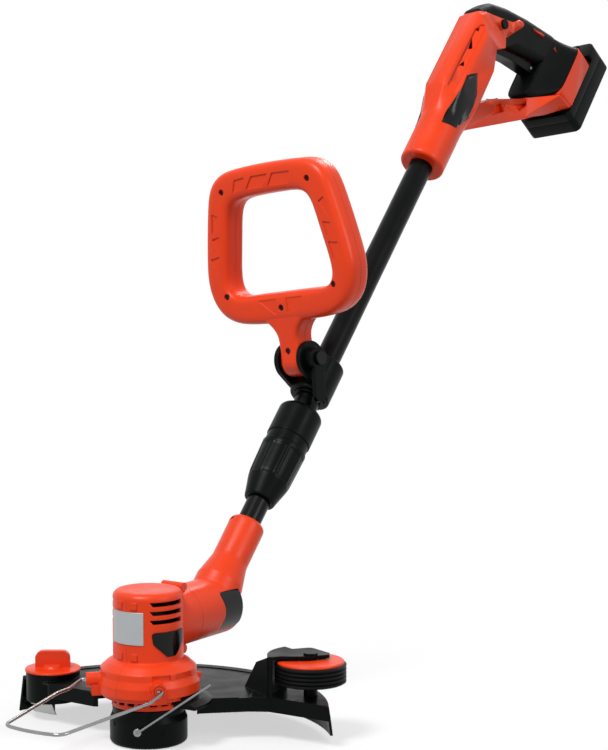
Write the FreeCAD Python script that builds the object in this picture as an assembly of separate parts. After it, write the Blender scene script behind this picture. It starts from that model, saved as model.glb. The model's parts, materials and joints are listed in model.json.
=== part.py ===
import FreeCAD, Part
import os
from math import atan2, cos, degrees, hypot, pi, radians, sin, tan

# Cordless string trimmer with a telescopic shaft. Millimetres.
# +X is the cutting direction, +Y the operator's left, +Z up. The spool turns about Z,
# and the origin is the middle of the flat bottom of its cap.


# ---------------------------------------------------------------- fits
GAP = 0.3            # between pieces that only lie side by side
RUN = 0.05           # radial clearance of a turning or sliding fit
SHELL = 2.5          # wall of the moulded housings


# ---------------------------------------------------------------- shaft
SHAFT_SLOPE = 46.1   # degrees above the ground
KNEE_X = -101.6      # where the shaft axis meets the head's roll axis
ROLL_Z = 117.5       # height of the roll axis
UPPER_TURN = -10.9   # the upper half is turned this far about the shaft
OUTER_TUBE_R = 14.0
OUTER_TUBE_WALL = 1.4
INNER_TUBE_R = OUTER_TUBE_R - OUTER_TUBE_WALL - RUN - 0.05
INNER_TUBE_WALL = 1.5
OUTER_TUBE_FROM = 196.0
OUTER_TUBE_TO = 800.0
INNER_TUBE_FROM = 30.0
INNER_TUBE_TO = 480.0
BUSH_LENGTH = 12.0


# ---------------------------------------------------------------- head
CAP_R = 38.7
CAP_BAND_TO = 24.5   # top of the cap's straight wall
CAP_NECK_R = 36.0
CAP_NECK_FROM = 31.0
CAP_HEIGHT = 37.6
CAP_WALL = 2.2
CARRIER_FROM = 31.0
CARRIER_SHEET = 2.5
SPOOL_POST_R = 8.0
SPOOL_R = 30.0
SPOOL_BELOW_CARRIER = 7.0
FLANGE_SHEET = 1.6   # flanges of both bobbins
SPOOL_CORE_R = 14.0
EYELET_R = 4.0
EYELET_SEAT = 2.0
LATCH_FROM_EXIT = -49.5
LATCH_HALF = 6.0
LATCH_LEVELS = (20.5, 25.0)
LATCH_LEG = 2.0
DIMPLE_TURN = 56.5   # press marks beside the latches
DIMPLE_Z = 16.0
DIMPLE_R = 2.6
LINE_TIP = FreeCAD.Vector(30, 97, 75)
LINE_Z = 17.5        # height of the line exits
LINE_R = 1.0
LINE_EXIT_TURN = 20.5
DRUM_R = 46.5        # lowest ring of the skirt, inside the guard's lip
DRUM_FROM = 48.0
SKIRT_LIP = 4.8       # how far the skirt stands out past the drum
SKIRT_R = DRUM_R + SKIRT_LIP
SKIRT_FROM = 52.5
SKIRT_TO = 62.5
SHOULDER_STEP = 3.3   # how far the shoulder stands in from the skirt
SHOULDER_R = SKIRT_R - SHOULDER_STEP
SHOULDER_FROM = 69.5
SHOULDER_TO = 76.0
HOUSING_R = 35.0
HOUSING_FROM = 85.5
HOUSING_TOP = 153.5
HOUSING_CORNER = 7.0
POCKETS = [(42.0, 64.0), (72.0, 97.0)]   # shallow panels in the shoulder, in degrees
POCKET_LEVELS = (70.5, 75.5)
POCKET_DEPTH = 1.2
SIDE_LUG_TURN = 127.0
SIDE_LUG_R = 3.5
SIDE_LUG_LEVELS = (63.0, 68.5)
CLIP_TURN = 14.0     # small clips on both sides of the front seam
CLIP_HALF = 3.5
CLIP_HEIGHT = 7.0
CLIP_LEVELS = (87.5, 138.5)
BOSS_R = 30.1        # round boss behind the motor, on the roll axis
SEAM_X = -51.5       # roll seam between the boss and the elbow
VENT_RING_R = 36.8
VENT_RING_WALL = 2.6
VENT_RING_LEVELS = (38.2, 55.0)
RING_SLOTS = 20
RING_SLOT_LEVELS = (42.5, 48.0)
RING_SLOT_HALF = 3.6
VENT_BACK = -8.5     # ends of the housing's slots, on X
VENT_FRONT = 24.3
VENT_SLANT = 2.5
VENT_HEIGHT = 4.4
VENT_LEVELS = (123.8, 132.5, 141.3)
WEB_FROM = 79.0      # web that carries the motor
WEB_TO = 84.0
MOTOR_R = 21.0
MOTOR_TO = 138.0
BEARING_R = 8.0
MOTOR_SHAFT_R = 2.5
FAN_R = 30.0
FAN_FROM = 44.0
FAN_TO = 62.0
FAN_BLADES = 8
PLATE_ANGLES = (-34.5, 30.0)
PLATE_LEVELS = (103.5, 136.0)
BADGE_TURN = 77.5
BADGE_SPREAD = 35.0
BADGE_TOP = 116.0
BADGE_BOTTOM = 91.0
LUG_R = 4.6
LUG_BACK = 8.5
LUG_HALF = 13.0
SCREW_R = 1.5
SCREW_HEAD_R = 3.0
SCREW_HEAD = 2.0
SCREW_LENGTH = 14.0
SCREW_BOSS_R = 4.5
GUARD_SCREW_R = 42.0
GUARD_SCREW_AT = (130.0, 180.0, 230.0)
WIRE_BOSS_R = 7.4
WIRE_BOSS_TURN = 47.0
WIRE_BOSS_OUT = 62.0
WIRE_BOSS_Z = 64.0
WIRE_BOSS_GROOVE = 4.5
WIRE_SEAT = 6.0
PAD_OUT = 57.0       # flat pad under each boss
PAD_HALF = 9.0
PAD_LEVELS = (49.5, 60.0)


# ---------------------------------------------------------------- elbow
ELBOW_END_X = -128.0
SOCKET_R = 19.5
SOCKET_TO = 106.0
SPIGOT_R = 17.0
BUTTON_X = (-122.0, -88.0)
BUTTON_Z = (98.0, 136.0)
BUTTON_FLANGE = 15.0
ELBOW_SCREWS = [(-70.0, 94.0, 18.0), (-112.0, 93.0, 16.0), (-160.0, 200.0, 6.0)]
BULKHEAD = 9.0


# ---------------------------------------------------------------- guard and its fittings
GUARD_R = 183.0      # at the top of the rim
GUARD_FLARE = 7.0    # the rim leans out by this much on its way down
GUARD_CENTRE = (30.0, 15.0)
GUARD_TOP = 43.0
GUARD_BOTTOM = 5.0
GUARD_WALL = 2.6
RIM_FROM = 122.4     # degrees about the rim's centre
RIM_TO = 260.0
RIM_END = 126.5      # where the hanging rim starts, behind the plate's corner
RIM_END_BACK = 20.8  # its end slopes back by this much
GUARD_SHEET = 3.0
GUARD_FRONT = [(10, -120), (12, -60), (0, -40), (0, 40), (-24, 46), (-57.7, 83), (-66.8, 99.8)]
LIP_BOTTOM = 28.0    # hanging lip along the front edges
LIP_WALL = 3.0
LIP_FREE = 8.0       # the lip stops this far inside the flange's edge
GUARD_HOLE_R = 38.0
FLANGE_R = 50.5      # flange and lip under the drum
FLANGE_LIP_TO = 51.0
FLANGE_FRONT = 8.0
HUB_R = 63.0         # low raised hub round the flange
HUB_RISE = 3.0
PANEL_EDGE = 10.0    # recessed panel in the plate
PANEL_DEPTH = 0.8
RIB_ANGLES = (160.0, 180.0, 200.0, 220.0, 240.0)
RIB_DEPTH = 6.0
WHEEL_AT = (-97.0, 129.5)
WHEEL_R = 36.0
WHEEL_FROM = 53.5
WHEEL_TO = 79.5
WHEEL_PIN_R = 4.0
TYRE_DEPTH = 6.0
TYRE_RIBS = 5
ARM_FROM = 81.0
ARM_TO = 84.5
ARM_WALL = 4.0
ARM_CLEAR = 3.5      # from the wheel to the arm's riser
ARM_TURN = -75.0     # middle of the riser about the wheel
ARM_SPREAD = 35.0
ARM_OUTLINE = [
    (29, -31.5, 2), (12.6, -37, 20), (-7, -31.4, 20), (-26.4, -16.3, 6),
    (-15.7, 13, 4), (-9, 16.5, 4), (9.5, 2.5, 14), (20, -13.5, 20),
]
ARM_PLATE_IN = 9.0   # how far the plate's edge strip reaches in from the riser
GUSSET_AT = (-66.8, 99.8)
GUSSET_TURN = -121.3
GUSSET = [(0, 0), (0, 41.5), (26.9, 31.5), (55.7, 0)]    # length and height above the plate
WHEEL_BOSS_R = 7.0
PIN_HEAD_R = 7.3
PIN_HEAD = 2.0
HOLDER_AT = (-20.0, -140.0)
HOLDER_R = 28.0
HOLDER_FROM = 19.0
HOLDER_TO = 49.0
SPARE_POST_R = 6.0
KNOB_R = 18.0
KNOB_FROM = 51.5
KNOB_TO = 69.5
WING_HALF = 3.5
WING_FOOT = 9.0
WING_TURN = 123.0
CUTTER_SHEET = 1.2
WIRE_R = 1.75
WIRE_HALF_WIDTH = 50.2
WIRE_DROP = [(62.0, 58.5), (80.0, 58.0)]     # X and Z of each side's bends
WIRE_FRONT = (177.0, 34.0, 50.0)
WIRE_NOSE_X = 183.0
WIRE_BENDS = [3.0, 8.0, 60.0, 12.0]
WIRE_NOSE_BEND = 120.0


# ---------------------------------------------------------------- collar
COLLAR_R = 24.9
NUT_FROM = 135.3
NUT_TAPER = 162.3
NUT_TO = 205.5
NUT_END_R = 17.2
BAND_TO = 216.3
COLLAR_TO = 255.0
BAND_R = 23.7
NECK_R = 19.0        # threaded neck under the nut
COLLET_FROM = 166.0
NUT_GROOVES = 12
GROOVE_R = 5.0


# ---------------------------------------------------------------- clamp and loop handle
PIVOT_OUT = 36.5     # from the shaft axis
PIVOT_ALONG = 300.6
CLAMP_FROM = 276.0
CLAMP_TO = 324.0
CLAMP_R = 23.0
LINER_R = 16.0
EAR_R = 20.0
BOLT_R = 4.0
STEM_HALF = 13.0
STEM_BACK = 14.0     # clears the clamp's ring when the loop leans back
EAR_OUT = 19.0
LEVER_OUT = 30.0
LEVER_REACH = 40.0
LEVER_LEAN = 38.0
LEVER_CLEAR = 0.4              # from the lever's inner face to the collar it passes
LOOP_BOSS_R = 18.0
LOOP_TILT = 47.5     # between the loop's plane and the shaft
LOOP_DEPTH = 17.0    # half the loop's depth, front to back
LOOP_ROUND = 12.0
LOOP_SCREWS = [(0, 12), (0, 60), (78, 78.5), (-78, 78.5), (63, 194), (-63, 194)]


# ---------------------------------------------------------------- rear handle
HANDLE_FROM = 629.0
HANDLE_NECK_R = 26.8
NECK_TO = 696.0
BARREL_FROM = 733.0
BARREL_TO = 861.0
BARREL_FRONT = 38.0
BARREL_SIDE = 29.0
GRIP_HALF = 18.0
GRIP_ROUND = 13.0
STRUT_HALF = 13.0
FOOT_IN = -94.0      # face of the foot towards the loop opening
RIM_IN = -123.0
FOOT_OUT = -150.0    # plane that the battery slides on
FOOT_HALF = 38.0
FOOT_FROM = 866.0
FOOT_TO = 947.0
BATTERY_FROM = 856.0
BATTERY_TO = 978.0
BATTERY_OUT = -182.0
BATTERY_SPLIT = -162.0
BATTERY_RISE = -141.5
RAIL_HALF = 24.0
RAIL_NECK = 4.0
RAIL_HEIGHT = 9.0
CELL_R = 9.2
CELL_X = -168.0
LATCH_WIDE = 14.0
GRIP_SKIN = 3.0
TRIGGER_HALF = 9.0
TRIGGER_PIVOT = (-86.0, 880.5)
LOCK_AT = (-5.6, 874.6)
LOCK_R = 6.0
HANDLE_SCREWS = [(-20.0, 720.0, 20.0), (20.0, 830.0, 24.0), (-60.0, 800.0, 9.0), (-104.0, 925.0, 12.0)]
STRUT_TRIANGLES = [
    [(-50, 768), (-72, 797), (-60, 797)],
    [(-84, 805), (-106, 834), (-94, 834)],
]

Z_AXIS = FreeCAD.Vector(0, 0, 1)
Y_AXIS = FreeCAD.Vector(0, 1, 0)


# ---------------------------------------------------------------- small helpers
def vec(x, y, z):
    return FreeCAD.Vector(x, y, z)


def rod(radius, start, end):
    """Solid cylinder between two points."""
    path = end - start
    return Part.makeCylinder(radius, path.Length, start, path)


def pipe(outer, inner, low, high):
    """Tube about Z."""
    body = Part.makeCylinder(outer, high - low, vec(0, 0, low))
    return body.cut(Part.makeCylinder(inner, high - low, vec(0, 0, low)))


def block(x, y, z):
    """Box from three (low, high) pairs."""
    return Part.makeBox(x[1] - x[0], y[1] - y[0], z[1] - z[0], vec(x[0], y[0], z[0]))


def revolve(points, angle=360, start=0):
    """Solid of (radius, z) points turned about Z."""
    corners = [vec(r, 0, z) for r, z in points]
    face = Part.Face(Part.makePolygon(corners + corners[:1]))
    face.rotate(vec(0, 0, 0), Z_AXIS, start)
    return face.revolve(vec(0, 0, 0), Z_AXIS, angle)


def rounded_wire(points, place):
    """Closed outline of (u, v, radius) corners, each rounded by an arc."""
    count = len(points)
    runs = []
    for i in range(count):
        u, v, radius = points[i]
        before = points[i - 1]
        after = points[(i + 1) % count]
        a = atan2(before[1] - v, before[0] - u)
        b = atan2(after[1] - v, after[0] - u)
        half = abs((b - a + pi) % (2 * pi) - pi) / 2
        if radius == 0 or abs(half - pi / 2) < 1e-6:
            runs.append([(u, v)])
            continue
        back = radius / tan(half)
        middle = (cos(a) + cos(b), sin(a) + sin(b))
        reach = (radius / sin(half) - radius) / hypot(*middle)
        runs.append([
            (u + back * cos(a), v + back * sin(a)),
            (u + reach * middle[0], v + reach * middle[1]),
            (u + back * cos(b), v + back * sin(b)),
        ])
    edges = []
    for i in range(count):
        spots = [place(*spot) for spot in runs[i]]
        if len(spots) == 3:
            edges.append(Part.Arc(*spots).toShape())
        nxt = place(*runs[(i + 1) % count][0])
        if spots[-1].distanceToPoint(nxt) > 1e-6:
            edges.append(Part.LineSegment(spots[-1], nxt).toShape())
    return Part.Wire(edges)


def slab_xy(points, low, high):
    """Rounded outline in plan, from z = low to z = high."""
    face = Part.Face(rounded_wire(points, lambda u, v: vec(u, v, low)))
    return face.extrude(vec(0, 0, high - low))


def slab_xz(points, low, high):
    """Rounded outline of (x, z), from y = low to y = high."""
    face = Part.Face(rounded_wire(points, lambda u, v: vec(u, low, v)))
    return face.extrude(vec(0, high - low, 0))


def slab_yz(points, low, high):
    """Rounded outline of (y, z), from x = low to x = high."""
    face = Part.Face(rounded_wire(points, lambda u, v: vec(low, u, v)))
    return face.extrude(vec(high - low, 0, 0))


def sharp(points):
    return [(u, v, 0) for u, v in points]


def fused(shapes):
    whole = shapes[0]
    for shape in shapes[1:]:
        whole = whole.fuse(shape)
    return whole.removeSplitter()


def cut_all(shape, tools):
    for tool in tools:
        shape = shape.cut(tool)
    return shape


def polar(radius, angle, z=0.0):
    return vec(radius * cos(radians(angle)), radius * sin(radians(angle)), z)


def on_shaft(shape, turn=0.0):
    """From the shaft's own frame (z up the shaft, x away from it in front) to the tool's."""
    shape = shape.copy()
    shape.rotate(vec(0, 0, 0), Z_AXIS, turn)
    shape.rotate(vec(0, 0, 0), Y_AXIS, SHAFT_SLOPE - 90)
    shape.translate(vec(KNEE_X, 0, ROLL_Z))
    return shape


def on_upper(shape):
    return on_shaft(shape, UPPER_TURN)


def on_loop(shape):
    """From the loop's frame (z up the loop, x to its front, origin at the pivot)."""
    shape = shape.copy()
    shape.rotate(vec(0, 0, 0), Y_AXIS, LOOP_TILT)
    shape.translate(vec(PIVOT_OUT, 0, PIVOT_ALONG))
    return on_upper(shape)


def save(name, shape):
    solids = shape if isinstance(shape, list) else shape.Solids
    group = solids[0] if len(solids) == 1 else Part.makeCompound(solids)
    group.exportStep("parts/" + name + ".step")


def halves(shape):
    """Left (+Y) and right (-Y) moulding of a shell that splits in the plane Y = 0."""
    big = 2000.0
    left = shape.common(Part.makeBox(big, big, big, vec(-big / 2, 0, -big / 2)))
    right = shape.common(Part.makeBox(big, big, big, vec(-big / 2, -big, -big / 2)))
    return left, right


# ---------------------------------------------------------------- motor housing
def turned(points, angle=360, start=0):
    """Solid of rotation about Z with rounded (radius, z, rounding) corners."""
    face = Part.Face(rounded_wire(points, lambda u, v: vec(u, 0, v)))
    face.rotate(vec(0, 0, 0), Z_AXIS, start)
    return face.revolve(vec(0, 0, 0), Z_AXIS, angle)


def on_roll(shape):
    """Lay a shape made about Z along the roll axis, pointing back."""
    shape = shape.copy()
    shape.rotate(vec(0, 0, 0), Y_AXIS, -90)
    shape.translate(vec(0, 0, ROLL_Z))
    return shape


def lug_places():
    """X and Z of the screw lugs above and below the boss."""
    reach = BOSS_R + LUG_R * 0.3
    return [(SEAM_X + LUG_BACK, ROLL_Z + reach), (SEAM_X + LUG_BACK, ROLL_Z - reach)]


def housing_halves():
    """Skirt, motor housing and boss, split in the plane Y = 0."""
    skin = turned([
        (0, DRUM_FROM, 0), (DRUM_R, DRUM_FROM, 1), (DRUM_R, SKIRT_FROM, 0), (SKIRT_R, SKIRT_FROM, 0.8),
        (SKIRT_R, SKIRT_TO, 1.5), (SHOULDER_R + 0.3, SHOULDER_FROM, 1), (SHOULDER_R - 0.2, SHOULDER_TO, 1.5),
        (HOUSING_R + 6, HOUSING_FROM - 3.5, 4), (HOUSING_R, HOUSING_FROM, 1),
        (HOUSING_R, HOUSING_TOP, HOUSING_CORNER), (0, HOUSING_TOP, 0),
    ])
    boss = on_roll(Part.makeCylinder(BOSS_R, -SEAM_X))
    lugs = [rod(LUG_R, vec(x, -LUG_HALF, z), vec(x, LUG_HALF, z)) for x, z in lug_places()]
    shell = fused([skin, boss] + lugs)
    inner_r = HOUSING_R - SHELL
    motor_room = turned([
        (0, WEB_TO, 0), (inner_r, WEB_TO, 0), (inner_r, HOUSING_TOP - SHELL, HOUSING_CORNER - SHELL),
        (0, HOUSING_TOP - SHELL, 0),
    ])
    fan_room = revolve([
        (0, DRUM_FROM), (VENT_RING_R, DRUM_FROM), (VENT_RING_R, SKIRT_TO),
        (inner_r - 2, SHOULDER_FROM + 3), (inner_r - 2, WEB_FROM), (0, WEB_FROM),
    ])
    wall_r = VENT_RING_R + SHELL
    ring_room = revolve([
        (wall_r, DRUM_FROM), (DRUM_R - SHELL, DRUM_FROM), (DRUM_R - SHELL, SKIRT_FROM + SHELL),
        (SKIRT_R - SHELL, SKIRT_FROM + SHELL), (SKIRT_R - SHELL, SKIRT_TO - 1),
        (SHOULDER_R - SHELL, SHOULDER_FROM - 1), (SHOULDER_R - SHELL, SHOULDER_TO - SHELL),
        (wall_r, SHOULDER_TO - SHELL),
    ])
    for angle in GUARD_SCREW_AT:
        spot = polar(GUARD_SCREW_R, angle, DRUM_FROM)
        ring_room = ring_room.cut(Part.makeCylinder(SCREW_BOSS_R, 60, spot))
    wire_room = on_roll(Part.makeCylinder(BOSS_R - SHELL, -SEAM_X - BULKHEAD - 20, vec(0, 0, 20)))
    spigot_hole = on_roll(Part.makeCylinder(SPIGOT_R, -SEAM_X))
    bearing_hole = Part.makeCylinder(BEARING_R, 40, vec(0, 0, WEB_FROM - 10))
    shell = cut_all(shell, [motor_room, fan_room, ring_room, wire_room, spigot_hole, bearing_hole])
    shell = cut_all(shell, side_vents() + shoulder_pockets())
    shell = fused([shell] + wire_bosses() + side_lugs() + seam_clips())
    shell = cut_all(shell, wire_bores())
    shell = cut_all(shell, [screw_hole(*place) for place in housing_screw_places() + guard_screw_places()])
    return halves(shell)


def side_vents():
    """Three cooling slots on each side, high on the motor housing."""
    slots = []
    for z in VENT_LEVELS:
        outline = sharp([
            (VENT_BACK, z), (VENT_FRONT, z), (VENT_FRONT + VENT_SLANT, z + VENT_HEIGHT),
            (VENT_BACK, z + VENT_HEIGHT),
        ])
        for low, high in ((BEARING_R, 2 * HOUSING_R), (-2 * HOUSING_R, -BEARING_R)):
            slots.append(slab_xz(outline, low, high))
    return slots


def shoulder_pockets():
    """Shallow panels sunk into the shoulder on both sides."""
    low, high = POCKET_LEVELS
    pockets = []
    for start, end in POCKETS:
        for first in (start, -end):
            pockets.append(revolve([
                (SHOULDER_R - POCKET_DEPTH, low), (SKIRT_R, low), (SKIRT_R, high),
                (SHOULDER_R - POCKET_DEPTH, high),
            ], end - start, first))
    return pockets


def side_lugs():
    low, high = SIDE_LUG_LEVELS
    return [
        Part.makeCylinder(SIDE_LUG_R, high - low, polar(SKIRT_R - 2, angle, low))
        for angle in (SIDE_LUG_TURN, -SIDE_LUG_TURN)
    ]


def seam_clips():
    """Small clips beside the front seam that hold the two mouldings together."""
    clips = []
    for z in CLIP_LEVELS:
        for angle in (CLIP_TURN, -CLIP_TURN):
            clip = block((HOUSING_R - SHELL + 0.5, HOUSING_R + 1), (-CLIP_HALF, CLIP_HALF),
                (z, z + CLIP_HEIGHT))
            clip.rotate(vec(0, 0, 0), Z_AXIS, angle)
            clips.append(clip)
    return clips


def wire_bosses():
    """Round bosses on the skirt that carry the wire guard, each on its pad."""
    low, high = PAD_LEVELS
    bosses = []
    for side in (-1, 1):
        boss = rod(WIRE_BOSS_R, vec(VENT_RING_R + SHELL + 1, 0, WIRE_BOSS_Z),
            vec(WIRE_BOSS_OUT, 0, WIRE_BOSS_Z))
        groove = rod(WIRE_BOSS_GROOVE + 0.8, vec(WIRE_BOSS_OUT - 0.8, 0, WIRE_BOSS_Z),
            vec(WIRE_BOSS_OUT, 0, WIRE_BOSS_Z))
        centre = rod(WIRE_BOSS_GROOVE, vec(WIRE_BOSS_OUT - 0.8, 0, WIRE_BOSS_Z),
            vec(WIRE_BOSS_OUT, 0, WIRE_BOSS_Z))
        pad = block((VENT_RING_R + SHELL + 1, PAD_OUT), (-PAD_HALF, PAD_HALF), (low, high))
        boss = fused([boss.cut(groove.cut(centre)), pad])
        boss.rotate(vec(0, 0, 0), Z_AXIS, side * WIRE_BOSS_TURN)
        bosses.append(boss)
    return bosses


def wire_hinge():
    """X and Y of the middle of a boss's end face."""
    spot = polar(WIRE_BOSS_OUT, WIRE_BOSS_TURN)
    return spot.x, spot.y


def wire_bores():
    x, y = wire_hinge()
    start = y - WIRE_SEAT - 0.5
    return [rod(WIRE_R + RUN, vec(x, s * start, WIRE_BOSS_Z),
        vec(x, s * (y + 20), WIRE_BOSS_Z)) for s in (-1, 1)]


def screw(start, way):
    """Pan-head screw; start is the underside of its head."""
    shank = Part.makeCylinder(SCREW_R, SCREW_LENGTH, start, way)
    head = Part.makeCylinder(SCREW_HEAD_R, SCREW_HEAD, start - way * SCREW_HEAD, way)
    return shank.fuse(head).removeSplitter()


def screw_hole(start, way):
    """The hole that a screw fills, with its head's recess."""
    shank = Part.makeCylinder(SCREW_R, SCREW_LENGTH, start, way)
    head = Part.makeCylinder(SCREW_HEAD_R, 12.0, start - way * 12.0, way)
    return shank.fuse(head)


def housing_screw_places():
    return [(vec(x, -LUG_HALF + SCREW_HEAD, z), Y_AXIS) for x, z in lug_places()]


def guard_screw_places():
    low = GUARD_TOP - GUARD_SHEET + SCREW_HEAD
    return [(polar(GUARD_SCREW_R, angle, low), Z_AXIS) for angle in GUARD_SCREW_AT]


def roll_spigot():
    """Flanged tube that joins the head to the elbow; the wires pass through it."""
    start = -SEAM_X - BULKHEAD
    end = -SEAM_X + GAP + BULKHEAD + GAP
    spigot = turned([
        (SPIGOT_R - 4, start - 3, 0), (SPIGOT_R + 3, start - 3, 0.8), (SPIGOT_R + 3, start, 0),
        (SPIGOT_R, start, 0), (SPIGOT_R, end, 0), (SPIGOT_R + 4, end, 0),
        (SPIGOT_R + 4, end + 3, 0.8), (SPIGOT_R - 4, end + 3, 0),
    ])
    return on_roll(spigot)


def rating_plate():
    """Bare metal plate bent round the front of the housing."""
    low, high = PLATE_LEVELS
    start, end = PLATE_ANGLES
    seat = HOUSING_R + RUN
    return revolve([
        (seat, low), (seat + 0.6, low), (seat + 0.6, high), (seat, high),
    ], end - start, start)


def shield_badge():
    """Bare black badge on the left of the housing, wide above and pointed below."""
    skin = pipe(HOUSING_R + 1.2, HOUSING_R + RUN, 80, 130)
    half = HOUSING_R * sin(radians(BADGE_SPREAD))
    outline = slab_yz([
        (-half, BADGE_TOP, 3), (half, BADGE_TOP, 3), (half * 0.93, BADGE_TOP - 12, 6),
        (half * 0.25, BADGE_BOTTOM, 3), (-half * 0.25, BADGE_BOTTOM, 3), (-half * 0.93, BADGE_TOP - 12, 6),
    ], 5, 60)
    outline.rotate(vec(0, 0, 0), Z_AXIS, BADGE_TURN)
    return skin.common(outline)


# ---------------------------------------------------------------- motor
def motor_can():
    low = WEB_TO
    can = turned([
        (0, low, 0), (MOTOR_R, low, 2), (MOTOR_R, MOTOR_TO, 3), (BEARING_R, MOTOR_TO, 0),
        (BEARING_R, MOTOR_TO + 4, 1), (0, MOTOR_TO + 4, 0),
    ])
    room = revolve([(0, low + 3), (MOTOR_R - 3, low + 3), (MOTOR_R - 3, MOTOR_TO - 3), (0, MOTOR_TO - 3)])
    return can.cut(room).cut(Part.makeCylinder(BEARING_R - 2, 200))


def bearings():
    """Two plain bearings, one in the web and one in the end of the can."""
    low = pipe(BEARING_R, MOTOR_SHAFT_R + RUN, WEB_FROM - 1, WEB_TO - GAP)
    high = pipe(BEARING_R - 2, MOTOR_SHAFT_R + RUN, MOTOR_TO - 3, MOTOR_TO + 4)
    return [low, high]


def motor_rotor():
    """Shaft with its core, commutator and cooling fan."""
    shaft = Part.makeCylinder(MOTOR_SHAFT_R, MOTOR_TO + 2 - CARRIER_FROM, vec(0, 0, CARRIER_FROM))
    core = Part.makeCylinder(MOTOR_R - 6, MOTOR_TO - 16 - WEB_TO - 8, vec(0, 0, WEB_TO + 8))
    commutator = Part.makeCylinder(7, 8, vec(0, 0, MOTOR_TO - 14))
    return fused([shaft, core, commutator])


def fan():
    """Radial fan below the motor; it blows out through the slotted ring."""
    hub = pipe(9, MOTOR_SHAFT_R, FAN_FROM, FAN_TO)
    plate = pipe(FAN_R, MOTOR_SHAFT_R, FAN_TO - 2, FAN_TO)
    blades = []
    for i in range(FAN_BLADES):
        blade = block((8, FAN_R - 1), (-0.8, 0.8), (FAN_FROM + 2, FAN_TO - 1))
        blade.rotate(vec(0, 0, 0), Z_AXIS, 360 * i / FAN_BLADES)
        blades.append(blade)
    return fused([hub, plate] + blades)


def outlet_ring():
    """Slotted ring that lets the cooling air out above the spool."""
    low, high = VENT_RING_LEVELS
    ring = pipe(VENT_RING_R, VENT_RING_R - VENT_RING_WALL, low, high)
    for i in range(RING_SLOTS):
        slot = block((VENT_RING_R - 6, VENT_RING_R + 4), (-RING_SLOT_HALF, RING_SLOT_HALF), RING_SLOT_LEVELS)
        slot.rotate(vec(0, 0, 0), Z_AXIS, 360 * (i + 0.5) / RING_SLOTS)
        ring = ring.cut(slot)
    return ring


# ---------------------------------------------------------------- spool head
def spool_cap():
    """Cup that closes the spool head; its flat bottom runs on the ground."""
    cap = turned([
        (0, 0, 0), (CAP_R, 0, 4), (CAP_R, CAP_BAND_TO, 1), (CAP_NECK_R, CAP_NECK_FROM, 1),
        (CAP_NECK_R, CAP_HEIGHT, 1), (0, CAP_HEIGHT, 0),
    ])
    inner_r = CAP_R - CAP_WALL
    neck_r = CAP_NECK_R - CAP_WALL
    cap = cap.cut(revolve([
        (0, CAP_WALL + 1), (inner_r, CAP_WALL + 1), (inner_r, CAP_BAND_TO - 0.5),
        (neck_r, CAP_NECK_FROM - 1.5),
        (neck_r, CAP_HEIGHT), (0, CAP_HEIGHT),
    ]))
    for angle in (LINE_EXIT_TURN, LINE_EXIT_TURN + 180):
        way = polar(1, angle)
        start = polar(CAP_R - 8, angle, LINE_Z)
        cap = cap.cut(Part.makeCylinder(EYELET_R - 1, 16, start, way))
        cap = cap.cut(Part.makeCylinder(EYELET_R, 4, polar(CAP_R - EYELET_SEAT, angle, LINE_Z), way))
        cap = cap.cut(latch_block(angle + LATCH_FROM_EXIT))
    for angle in (DIMPLE_TURN, DIMPLE_TURN + 180):
        cap = cap.cut(Part.makeCylinder(DIMPLE_R, 4, polar(CAP_R - 1, angle, DIMPLE_Z), polar(1, angle)))
    return cap


def latch_block(angle):
    """Tab of the carrier that shows in the cap's window."""
    leg_r = CAP_NECK_R - CAP_WALL - GAP
    tab = block((leg_r - 1, CAP_R - 0.4), (-LATCH_HALF, LATCH_HALF), LATCH_LEVELS)
    tab.rotate(vec(0, 0, 0), Z_AXIS, angle)
    return tab


def spool_carrier():
    """Driven disc on the motor shaft; two tabs latch into the cap."""
    disc_r = CAP_NECK_R - CAP_WALL - GAP
    disc = Part.makeCylinder(disc_r, CARRIER_SHEET, vec(0, 0, CARRIER_FROM))
    hub = Part.makeCylinder(9, 6, vec(0, 0, CARRIER_FROM))
    post = Part.makeCylinder(SPOOL_POST_R, CARRIER_FROM - 5, vec(0, 0, 5))
    legs = []
    for angle in (LINE_EXIT_TURN, LINE_EXIT_TURN + 180):
        leg = block((disc_r - LATCH_LEG, disc_r), (-LATCH_HALF, LATCH_HALF),
            (LATCH_LEVELS[0], CARRIER_FROM + 1))
        leg = leg.common(Part.makeCylinder(disc_r, CAP_HEIGHT))
        leg.rotate(vec(0, 0, 0), Z_AXIS, angle + LATCH_FROM_EXIT)
        legs += [leg, latch_block(angle + LATCH_FROM_EXIT)]
    whole = fused([disc, hub, post] + legs)
    return whole.cut(Part.makeCylinder(MOTOR_SHAFT_R, 40, vec(0, 0, CARRIER_FROM)))


def spool():
    """Bobbin that the line is wound on."""
    low = CAP_WALL + 1.5
    high = CARRIER_FROM - SPOOL_BELOW_CARRIER
    return bobbin(SPOOL_POST_R + 0.1, SPOOL_CORE_R, SPOOL_R, low, high)


def bobbin(bore, core, wide, low, high):
    return revolve([
        (bore, low), (wide, low), (wide, low + FLANGE_SHEET), (core, low + FLANGE_SHEET),
        (core, high - FLANGE_SHEET), (wide, high - FLANGE_SHEET), (wide, high), (bore, high),
    ])


def wound_line():
    low = CAP_WALL + 1.5 + FLANGE_SHEET
    high = CARRIER_FROM - SPOOL_BELOW_CARRIER - FLANGE_SHEET
    return pipe(SPOOL_R - 2, SPOOL_CORE_R, low, high)


def eyelets():
    group = []
    for angle in (LINE_EXIT_TURN, LINE_EXIT_TURN + 180):
        start = polar(CAP_R - EYELET_SEAT, angle, LINE_Z)
        way = polar(1, angle)
        ring = Part.makeCylinder(EYELET_R, EYELET_SEAT + 0.6, start, way)
        group.append(ring.cut(Part.makeCylinder(LINE_R, 10, start - way, way)))
    return group


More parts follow.
